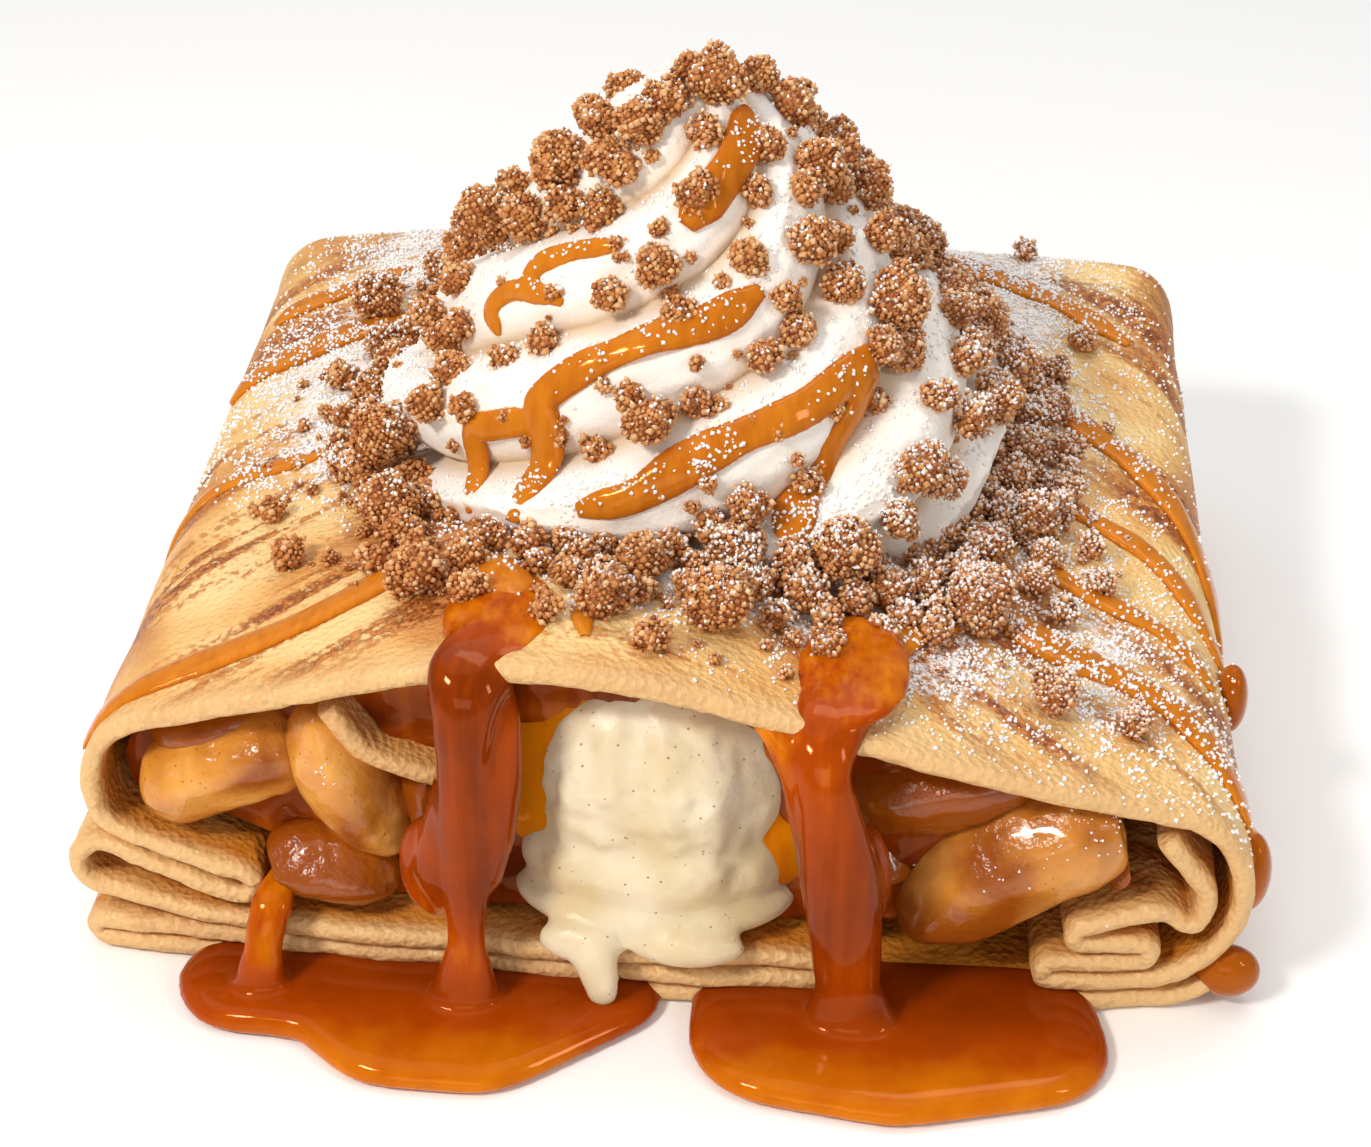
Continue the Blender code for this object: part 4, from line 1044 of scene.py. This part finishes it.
RUNS = {
    "left": [
        (((-20.0, -60.0, 60.5), (-22.5, -72.0, 60.8), (-25.5, -82.0, 58.9), (-26.2, -86.0, 54.0),
          (-26.5, -86.6, 47.0), (-26.8, -86.6, 36.0), (-27.0, -87.0, 26.0), (-27.4, -87.4, 14.0),
          (-28.0, -88.4, 3.0)), (2.0, 5.6, 6.2, 4.4, 3.8, 4.0, 3.4, 3.0, 6.0), 0.6),
        (((-23.0, -78.5, 58.0), (-23.6, -82.5, 53.0), (-24.5, -84.4, 44.0), (-26.4, -84.6, 34.0),
          (-28.6, -84.8, 25.0), (-29.0, -84.6, 17.0)), (3.0, 5.4, 6.4, 7.0, 6.8, 2.6), 0.5),
        (((-56.8, -77.0, 17.8), (-57.6, -82.6, 15.6), (-58.6, -86.4, 10.0), (-59.4, -88.0, 2.5)),
         (2.2, 3.4, 3.0, 4.6), 0.6),
    ],
    "right": [
        (((33.0, -56.0, 51.8), (28.0, -68.0, 52.8), (25.0, -79.5, 51.8), (24.4, -85.8, 47.0),
          (25.6, -86.4, 40.0), (27.2, -86.6, 30.0), (28.4, -87.0, 20.0), (29.2, -87.4, 10.0),
          (29.8, -88.4, 3.0)), (2.0, 6.2, 5.6, 3.9, 4.8, 6.0, 5.6, 5.0, 7.4), 0.6),
        (((8.0, -79.6, 55.2), (15.0, -81.0, 53.0), (20.0, -84.0, 47.5), (22.6, -85.0, 40.0),
          (24.0, -85.0, 30.0)), (0.8, 1.7, 2.6, 3.4, 3.0), 0.6),
    ],
}
PATCHES = {
    "left": [((-23.0, -69.0, 60.4), (8.6, 12.6, 1.9)), ((-32.0, -83.0, 25.0), (5.8, 2.6, 10.0))],
    "right": [((28.0, -68.0, 53.2), (8.6, 14.0, 1.9)), ((30.4, -84.0, 27.0), (4.6, 2.4, 11.0))],
}


def make_caramel(side, pins):
    """The runs over the front edge, melted into the pool at their foot."""
    parts = [pool_parts(pins)]
    parts += [over_edge(*run) for run in RUNS[side]]
    parts += [ball(centre, radii, 3) for centre, radii in PATCHES[side]]
    points, faces = joined(parts)
    caramel = make_object(f"caramel_{side}_run_and_pool", points, faces, CARAMEL)
    melt_together(caramel, 0.6, 14)
    points = points_of(caramel)
    points[:, 2] = np.maximum(points[:, 2], 0.0)
    move_points(caramel, points)
    mark(caramel, "thickness", thickness_of(caramel))
    return caramel


for side, pins in (("left", LEFT_POOL), ("right", RIGHT_POOL)):
    caramel = make_caramel(side, pins)
    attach(caramel, "root")
    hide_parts(f"caramel_{side}")


def make_film():
    """The thin caramel that has run down behind and beside the scoop."""
    parts = [ball((-2.5, -66.0, 33.0), (28.5, 12.4, 26.5), 4),
             ball((1.5, -68.0, 23.0), (26.5, 11.0, 13.0), 4)]
    points, faces = joined(parts)
    film = make_object("caramel_round_scoop", points, faces, CARAMEL)
    melt_together(film, 0.8, 6)
    points = points_of(film)
    points += normals_of(film) * (0.35 * rough(points, 9.0, 180))[:, None]
    keep_inside(points)
    move_points(film, points)
    melt_together(film, 0.8, 6)
    points = points_of(film)
    low = np.clip((22 - points[:, 2]) / 12, 0, 1)
    mark(film, "thickness", 0.12 + 0.12 * rough(points, 9.0, 181) + 0.35 * low)
    return film


film = make_film()
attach(film, "root")

# Drizzle: (x, y, z) on the crepe or (angle, height) on the cream, and the half width
CREPE_DRIZZLE = [
    (((-58, 54, 56), (-66, 48, 53), (-72, 43, 50), (-78, 38, 48)), 2.4),
    (((-56, 37, 54), (-65, 30, 51), (-74, 22, 48), (-82, 17, 43)), 3.4),
    (((-57, -8, 50), (-66, -13, 48), (-76, -18, 43), (-85, -24, 36), (-88, -30, 26)), 2.0),
    (((-36, -49, 58), (-44, -57, 56), (-56, -65, 51), (-70, -70, 44), (-82, -73, 34)), 3.3),
    (((24, 68, 57), (44, 64, 56), (61, 55, 53), (76, 44, 49)), 2.9),
    (((54, 30, 53), (62, 20, 50), (74, 9, 46), (84, -4, 41), (88, -16, 34), (89, -26, 24)), 3.0),
    (((56, -2, 50), (64, -9, 47), (76, -16, 43), (85, -28, 38), (88, -36, 30)), 2.6),
    (((58, -27, 49), (66, -31, 46), (78, -36, 41), (86, -44, 36)), 2.3),
    (((50, -42, 49), (60, -48, 45), (74, -52, 41), (84, -60, 36), (88, -70, 27)), 3.4),
    (((-30, -52, 60), (-24, -60, 60), (-21, -66, 60)), 4.2),
    (((44, -48, 50), (36, -55, 52), (31, -62, 53)), 4.2),
    (((-12, -64, 60), (-10, -74, 60)), 2.0),
]
DROPS = [((88.0, -38.5, 30.0), (2.7, 4.0, 6.2)), ((88.4, -70.0, 21.0), (3.2, 4.2, 7.0)),
         ((86.4, -75.0, 5.6), (5.0, 3.6, 4.4))]
CREAM_DRIZZLE = [
    (((-36, 113), (-56, 110), (-74, 106), (-90, 101)), 3.4),
    (((-112, 98), (-128, 96), (-140, 92), (-138, 88)), 1.9),
    (((-126, 89), (-144, 88), (-150, 84), (-146, 80)), 1.9),
    (((-66, 93), (-80, 90), (-96, 88), (-110, 84), (-120, 78), (-117, 72), (-118, 62)), 3.0),
    (((-118, 75), (-130, 72), (-134, 68), (-128, 60)), 2.3),
    (((-40, 82), (-59, 79), (-72, 77), (-85, 74), (-96, 69), (-105, 60)), 3.1),
    (((-42, 82), (-48, 76), (-57, 71), (-66, 65), (-70, 60)), 3.3),
    (((10, 84), (30, 78), (52, 70), (60, 60)), 2.6),
    (((150, 96), (120, 90), (98, 80), (90, 66)), 2.6),
]


def on_surface(tree, stops, half_width, steps, flat, seed):
    """A strand put down on a surface, with an uneven width and rounded ends."""
    path = []
    normals = []
    for place in smooth_path(stops, steps):
        inside = Vector((place[0] * 0.55, place[1] * 0.96, place[2] - 24.0))
        beyond = Vector(place) + (Vector(place) - inside) * 1.2
        hit, normal, face, distance = tree.ray_cast(beyond, (inside - beyond).normalized())
        if hit is None:
            hit, normal, face, distance = tree.find_nearest(Vector(place))
        path.append(np.array(hit))
        normals.append(np.array(normal))
    path = np.array(path)
    normals = np.array(normals)
    for turn in range(3):
        soften(path)
        soften(normals)
    ends = np.minimum(np.arange(len(path)) + 0.6, len(path) - 0.4 - np.arange(len(path)))
    radii = half_width * np.clip(ends / 3.5, 0.25, 1) ** 0.5 * (1 + 0.22 * rough(path, 6.0, seed))
    return strand(path + normals * 0.1 * half_width, normals, radii, flat)


def make_drizzle(name, tree, routes, drops, flat):
    """All the drizzle on one surface as one piece."""
    parts = [on_surface(tree, stops, half_width, 6, flat, index)
             for index, (stops, half_width) in enumerate(routes)]
    parts += [ball(centre, radii) for centre, radii in drops]
    points, faces = joined(parts)
    drizzle = make_object(name, points, faces, DRIZZLE)
    melt_together(drizzle, 0.45, 3)
    mark(drizzle, "thickness", np.minimum(0.6, thickness_of(drizzle)))
    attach(drizzle, "root")
    return drizzle


def on_swirl(angle, height, grow=0.0):
    """A point on the swirl, from an angle in degrees and a height."""
    return cream_shape(np.array([math.radians(angle)]), np.array([float(height)]), grow)[0]


crepe_drizzle = make_drizzle("drizzle_on_crepe", crepe_tree, CREPE_DRIZZLE, DROPS, 0.3)
swirl_routes = [([on_swirl(*stop) for stop in stops], width) for stops, width in CREAM_DRIZZLE]
cream_drizzle = make_drizzle("drizzle_on_cream", cream_tree, swirl_routes, [], 0.42)


# Crumble


OCTAHEDRON = (np.array([(1, 0, 0), (-1, 0, 0), (0, 1, 0), (0, -1, 0), (0, 0, 1), (0, 0, -1)], float),
              np.array([(0, 2, 4), (2, 1, 4), (1, 3, 4), (3, 0, 4), (2, 0, 5), (1, 2, 5), (3, 1, 5),
                        (0, 3, 5)]))


def spin(draw, count):
    """Turns about every axis, one for each of count grains."""
    first = draw.normal(size=(count, 3))
    first /= np.linalg.norm(first, axis=1)[:, None]
    second = np.cross(first, draw.normal(size=(count, 3)))
    second /= np.linalg.norm(second, axis=1)[:, None]
    return np.stack([first, second, np.cross(first, second)], axis=1)


def crumb(centre, size, seed, shape, grain):
    """A clump of baked grains round a core: points, faces and a tone for each point, with painted shade that
    darkens the core and the grains that sit low.
    """
    draw = np.random.default_rng(seed)
    count = max(10, int(4 * math.pi * (size * 0.46) ** 2 / (grain * grain * 1.05)))
    turn = np.arange(count) * 2.39996 + draw.uniform(0, 6)
    high = 1 - 2 * (np.arange(count) + 0.5) / count
    wide = np.sqrt(1 - high ** 2)
    ways = np.column_stack([wide * np.cos(turn), wide * np.sin(turn), high])
    core, core_faces = SPHERES[2 if size > 6 else 1]
    directions = np.concatenate([ways, core])
    # the clump is a few balls grown together, as seen from its middle
    radius = np.full(len(directions), size * 0.32)
    for index in range(9):
        offset = draw.normal(size=3)
        offset *= size * draw.uniform(0.15, 0.27) / np.linalg.norm(offset)
        reach = size * draw.uniform(0.17, 0.26)
        along = directions @ offset
        inner = along ** 2 - offset @ offset + reach ** 2
        hit = np.where(inner > 0, along + np.sqrt(np.maximum(inner, 0)), 0)
        radius = np.maximum(radius, hit)
    rise = draw.uniform(-0.45, 0.4, count) * grain
    places = ways * (radius[:count] - 0.25 * grain + rise)[:, None]
    plain, plain_faces = shape
    sizes = grain * draw.uniform(0.38, 0.78, (count, 1, 1)) * draw.uniform(0.65, 1.2, (count, 1, 3))
    grains = (plain[None] * sizes) @ spin(draw, count) + places[:, None, :]
    # painted shade: grains that rise less are drawn darker and the core darkest; the rest of the tone is
    # random
    tone = np.repeat(0.45 + 0.75 * rise / grain + draw.uniform(-0.22, 0.3, count), len(plain))
    core_points = core * (radius[count:] - 0.55 * grain)[:, None]
    faces = (plain_faces[None] + np.arange(count)[:, None, None] * len(plain)).reshape(-1, 3)
    faces = np.concatenate([faces, core_faces + count * len(plain)])
    points = np.concatenate([grains.reshape(-1, 3), core_points]) + np.array(centre)
    return points, faces, np.concatenate([np.clip(tone, 0.05, 1.1), np.full(len(core), 0.3)])


def make_crumbs(name, entries, shape, grain):
    """Many clumps as one piece. An entry is a centre, a size and a seed."""
    parts = []
    tones = []
    for centre, size, seed in entries:
        points, faces, tone = crumb(centre, size, seed, shape, min(grain, size * 0.3))
        parts.append((points, faces))
        tones.append(tone)
    points, faces = joined(parts)
    thing = make_object(name, points, faces, CRUMBLE, outward=False)
    mark(thing, "grain", np.concatenate(tones))
    cover = np.clip(0.55 + 0.6 * points[:, 0] / 60.0 - 0.35 * (points[:, 2] - 60) / 60.0, 0.1, 1.3)
    mark(thing, "sugar", cover)
    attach(thing, "root")
    return thing


crumble_nodes = sorted(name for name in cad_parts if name.startswith("crumble_"))
large = []
for number, name in enumerate(crumble_nodes, 1):
    low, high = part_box(name)
    centre = (low + high) / 2 / MM
    size = max(high - low) / MM
    large.append((tuple(centre), size * 1.04, number))
crumble = make_crumbs("crumble_pieces", large, OCTAHEDRON, 1.0)
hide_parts(*crumble_nodes)

# Smaller pieces that show in the photo. On the cream: (angle, height, size)
CREAM_CRUMBS = [
    (2, 116, 7.5), (-113, 116, 8.5), (-95, 119, 7.0), (-78, 112, 7.0), (-145, 100, 8.0), (-128, 101, 8.0),
    (-98, 97, 8.5), (-68, 97, 8.0), (-60, 92, 6.0), (-90, 91, 7.0), (-111, 92, 6.9), (-128, 83, 6.9),
    (-136, 80, 6.0), (-107, 72, 5.5), (-136, 74, 6.0), (-57, 87, 7.8), (-69, 85, 6.9), (-77, 68, 7.8),
    (-83, 64, 6.9), (-64, 68, 6.0), (-85, 79, 6.5), (-100, 81, 6.0), (-38, 83, 8.0), (-22, 84, 8.0),
    (-25, 70, 8.5), (-36, 64, 8.0), (-16, 76, 8.5), (-6, 80, 8.0), (-3, 90, 8.5), (-14, 94, 8.0),
    (-30, 96, 7.0), (-10, 100, 8.0), (-36, 104, 7.0), (4, 66, 9.0), (12, 92, 8.0), (20, 84, 9.0),
    (-50, 62, 8.0), (-70, 61, 8.0), (-90, 62, 7.0), (-160, 96, 9.0), (-168, 84, 7.0), (-165, 110, 8.0),
    (-56, 104, 6.0), (-86, 106, 7.5), (-122, 107, 7.0), (-135, 108, 8.0),
]
# On the crepe: (x, y, size)
CREPE_CRUMBS = [
    (47, -47, 10.0), (-51, 47, 8.6), (-2, -54, 8.0), (52, -20, 8.6), (-1, -74, 6.8), (24, -65, 6.9),
    (-28, -65, 6.9), (-16, -70, 6.0), (-21, -52, 6.6), (-60, -45, 6.9), (66, -21, 6.0), (67, -30, 5.7),
    (58, -27, 6.6), (68, 40, 6.9), (58, 68, 5.2), (-50, -26, 8.5), (-54, -20, 8.0), (-48, -34, 9.0),
    (-42, -45, 8.5), (-38, -52, 7.5), (-30, -56, 8.0), (-56, 4, 9.0), (-54, 14, 10.0), (-52, 26, 9.5),
    (-48, 36, 9.0), (-58, 24, 8.0), (-63, 12, 7.0), (-45, -52, 6.5), (12, -56, 8.0), (20, -54, 9.0),
    (28, -52, 8.0), (33, -48, 9.0), (38, -44, 8.5), (44, -38, 8.5), (48, -30, 9.0), (53, -10, 9.0),
    (56, 0, 10.0), (58, 10, 9.0), (55, 20, 9.5), (52, 30, 9.0), (62, -8, 7.5), (63, 4, 7.0),
    (62, 28, 7.0), (24, -58, 7.0), (16, -61, 6.0), (40, -54, 7.0), (32, -57, 6.5), (50, -40, 7.0),
    (56, -34, 7.0), (60, -40, 6.0), (70, -62, 6.5), (-66, -30, 5.5),
]


def top_of(x, y, size, share=0.34):
    """The middle of a clump that rests on the crepe."""
    hit = crepe_tree.ray_cast(Vector((x, y, 100.0)), Vector((0, 0, -1)))[0]
    return (hit.x, hit.y, hit.z + size * share)


draw = random.Random(5)
FRONT_LIMIT = -74


def scatter(entries, count, angles, low, high, sizes, seed, on_cream):
    """Add clumps that keep apart. On the cream low and high are heights, else distances."""
    wanted = len(entries) + count
    for attempt in range(count * 30):
        if len(entries) >= wanted:
            break
        angle = draw.uniform(*angles)
        size = draw.uniform(*sizes)
        if on_cream:
            place = on_swirl(angle, draw.uniform(low, high), size * 0.3)
        else:
            reach = low + (high - low) * draw.random() ** 1.5
            x, y = reach * math.cos(math.radians(angle)), reach * math.sin(math.radians(angle))
            if not FRONT_LIMIT <= y <= 62:
                continue
            place = top_of(x, y, size)
        if all(math.dist(place, other) > 0.36 * (size + wide) for other, wide, seed_of in taken):
            entries.append((tuple(place), size, seed + len(entries)))
            taken.append(entries[-1])


pieces = [(on_swirl(a, h, s * 0.3), s, 100 + i) for i, (a, h, s) in enumerate(CREAM_CRUMBS)]
pieces += [(top_of(x, y, s), s, 200 + i) for i, (x, y, s) in enumerate(CREPE_CRUMBS)]
taken = large + pieces
scatter(pieces, 26, (-42, 40), 66, 112, (6.0, 9.5), 300, True)
scatter(pieces, 12, (150, 215), 70, 112, (6.0, 9.0), 400, True)
scatter(pieces, 12, (40, 150), 64, 114, (6.0, 9.0), 500, True)
MOST_CLUMPS = 150
crumbs_medium = make_crumbs("crumble_bits", pieces[:MOST_CLUMPS], OCTAHEDRON, 1.05)
further = pieces[MOST_CLUMPS:]
scatter(further, 48, (-62, 45), 50, 64, (5.5, 8.5), 600, False)
scatter(further, 22, (165, 222), 50, 60, (5.5, 8.5), 700, False)
scatter(further, 26, (45, 165), 50, 62, (5.0, 8.0), 800, False)
scatter(further, 14, (-120, -60), 52, 62, (5.0, 7.5), 900, False)
crumbs_further = make_crumbs("crumble_bits_on_crepe", further[:MOST_CLUMPS], OCTAHEDRON, 1.05)

FINE_CRUMBS = 560
small = []
while len(small) < FINE_CRUMBS:
    size = draw.uniform(1.2, 3.6)
    angle = draw.uniform(-180, 180)
    if draw.random() < 0.3:
        place = on_swirl(angle, draw.uniform(60, 112), size * 0.25)
    else:
        reach = 49 + 26 * draw.random() ** 1.8
        x, y = reach * math.cos(math.radians(angle)), reach * math.sin(math.radians(angle))
        if not FRONT_LIMIT <= y <= 64 or abs(x) > 80:
            continue
        place = top_of(x, y, size, 0.25)
    small.append((tuple(place), size, 1000 + len(small)))
crumbs_small = make_crumbs("crumble_dust", small, OCTAHEDRON, 0.9)


# Powdered sugar

SUGAR_TRIES = 160000
MOST_GRAINS = 23500
APPLE_GRAINS = 50


def make_sugar():
    """Grains of sugar where it fell: real grains are finer, and these are 0.4 to 0.9 mm to show."""
    ground = search_tree(crepe, cream, crumble, crumbs_medium, crumbs_further, crumbs_small,
                         crepe_drizzle, cream_drizzle)
    diamond, sides = OCTAHEDRON
    grains = []
    dice = np.random.default_rng(77)
    tries = np.column_stack([dice.uniform(-84, 88, SUGAR_TRIES), dice.uniform(-80, 72, SUGAR_TRIES),
                             np.full(SUGAR_TRIES, 60.0)])
    up = np.tile([0.0, 0.0, 1.0], (len(tries), 1))
    cover = sugar_cover(tries, up) + 0.12 * (tries[:, 0] > 0)
    patchy = np.clip(0.5 + 0.8 * rough(tries, 3.2, 170) + 0.3 * rough(tries, 9.0, 171), 0.04, 1)
    wanted = tries[dice.uniform(0, 1, len(tries)) < cover * patchy * 0.62]
    for x, y, z in wanted:
        if len(grains) >= MOST_GRAINS:
            break
        hit, normal, face, distance = ground.ray_cast(Vector((x, y, 140.0)), Vector((0, 0, -1)))
        if hit is None or normal.z < 0.25:
            continue
        on_cream = math.hypot(hit.x, hit.y) < 47 and hit.z > 63
        if on_cream and dice.uniform() > 0.3:
            continue
        shape = diamond * dice.uniform(0.55, 1.25, (6, 1)) * dice.uniform(0.2, 0.5)
        grains.append((shape @ spin(dice, 1)[0] + np.array(hit) + np.array(normal) * 0.12, sides))
    # a pinch has stuck to the wet wedges in the opening
    for wedge in wedges:
        places = points_of(wedge)
        ways = normals_of(wedge)
        facing = (ways[:, 1] < -0.25) & (ways[:, 2] > 0.15) & (rough(places, 7.0, 190) > 0.05)
        chosen = np.flatnonzero(facing)
        for index in dice.choice(chosen, min(APPLE_GRAINS, len(chosen)), replace=False):
            shape = diamond * dice.uniform(0.55, 1.25, (6, 1)) * dice.uniform(0.14, 0.32)
            aside = dice.normal(0, 0.8, 3)
            aside -= ways[index] * aside.dot(ways[index])
            grains.append((shape @ spin(dice, 1)[0] + places[index] + aside, sides))
    points = np.concatenate([grain[0] for grain in grains])
    faces = np.concatenate([sides + 6 * index for index in range(len(grains))])
    return make_object("powdered_sugar_grains", points, faces, SUGAR, outward=False)


sugar = make_sugar()
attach(sugar, "root")


# Floor, light and camera


def area_light(name, place, target, size, power, colour="FFFFFF"):
    """A soft box that shines on a target, both in metres."""
    lamp = bpy.data.lights.new(name, "AREA")
    lamp.shape = "RECTANGLE"
    lamp.size, lamp.size_y = size
    lamp.energy = power
    lamp.color = linear(colour)[:3]
    thing = bpy.data.objects.new(name, lamp)
    thing.location = place
    thing.rotation_euler = (Vector(target) - Vector(place)).to_track_quat("-Z", "Y").to_euler()
    bpy.context.scene.collection.objects.link(thing)


FLOOR_HALF = 9.0
FLOOR_DROP = 0.0004
bm = bmesh.new()
bmesh.ops.create_grid(bm, x_segments=1, y_segments=1, size=FLOOR_HALF)
floor_mesh = bpy.data.meshes.new("floor")
bm.to_mesh(floor_mesh)
bm.free()
floor = bpy.data.objects.new("floor", floor_mesh)
floor_material = bpy.data.materials.new("white_backdrop")
floor_material.use_nodes = True
floor_shader = floor_material.node_tree.nodes["Principled BSDF"].inputs
floor_shader["Base Color"].default_value = linear("FCFCFB")
floor_shader["Roughness"].default_value = 0.7
floor_mesh.materials.append(floor_material)
floor.location.z = -FLOOR_DROP
bpy.context.scene.collection.objects.link(floor)

TARGET = (-0.001, -0.009, 0.030)
area_light("key_left", (-0.4, -0.45, 0.6), TARGET, (0.17, 0.095), 3.9, "FFF9F2")
area_light("fill_right", (0.5, -0.35, 0.4), TARGET, (0.07, 0.2), 0.7)
area_light("front", (-0.05, -0.85, 0.32), TARGET, (0.5, 0.25), 1.0, "FFF8F0")
area_light("top", (0.1, 0.3, 0.9), TARGET, (0.6, 0.25), 1.6)
sky = bpy.data.lights.new("even_ceiling", "SUN")
sky.energy = 0.9
sky.angle = math.radians(70)
sky_object = bpy.data.objects.new("even_ceiling", sky)
sky_object.rotation_euler = (math.radians(-14), math.radians(-8), 0)
bpy.context.scene.collection.objects.link(sky_object)

world = bpy.data.worlds.new("studio")
world.use_nodes = True
backdrop = world.node_tree.nodes["Background"].inputs
backdrop["Color"].default_value = (1, 1, 1, 1)
backdrop["Strength"].default_value = 0.33
bpy.context.scene.world = world
bpy.context.scene.view_settings.view_transform = "Standard"

YAW, PITCH, DISTANCE = math.radians(4.5), math.radians(33.0), 0.405
camera_data = bpy.data.cameras.new("camera")
camera_data.lens = 62
camera_data.sensor_width = 36
camera_data.clip_start = 0.02
camera = bpy.data.objects.new("camera", camera_data)
back_way = Vector((math.sin(YAW) * math.cos(PITCH), -math.cos(YAW) * math.cos(PITCH), math.sin(PITCH)))
camera.location = Vector(TARGET) + back_way * DISTANCE
camera.rotation_euler = (-back_way).to_track_quat("-Z", "Y").to_euler()
bpy.context.scene.collection.objects.link(camera)
bpy.context.scene.camera = camera
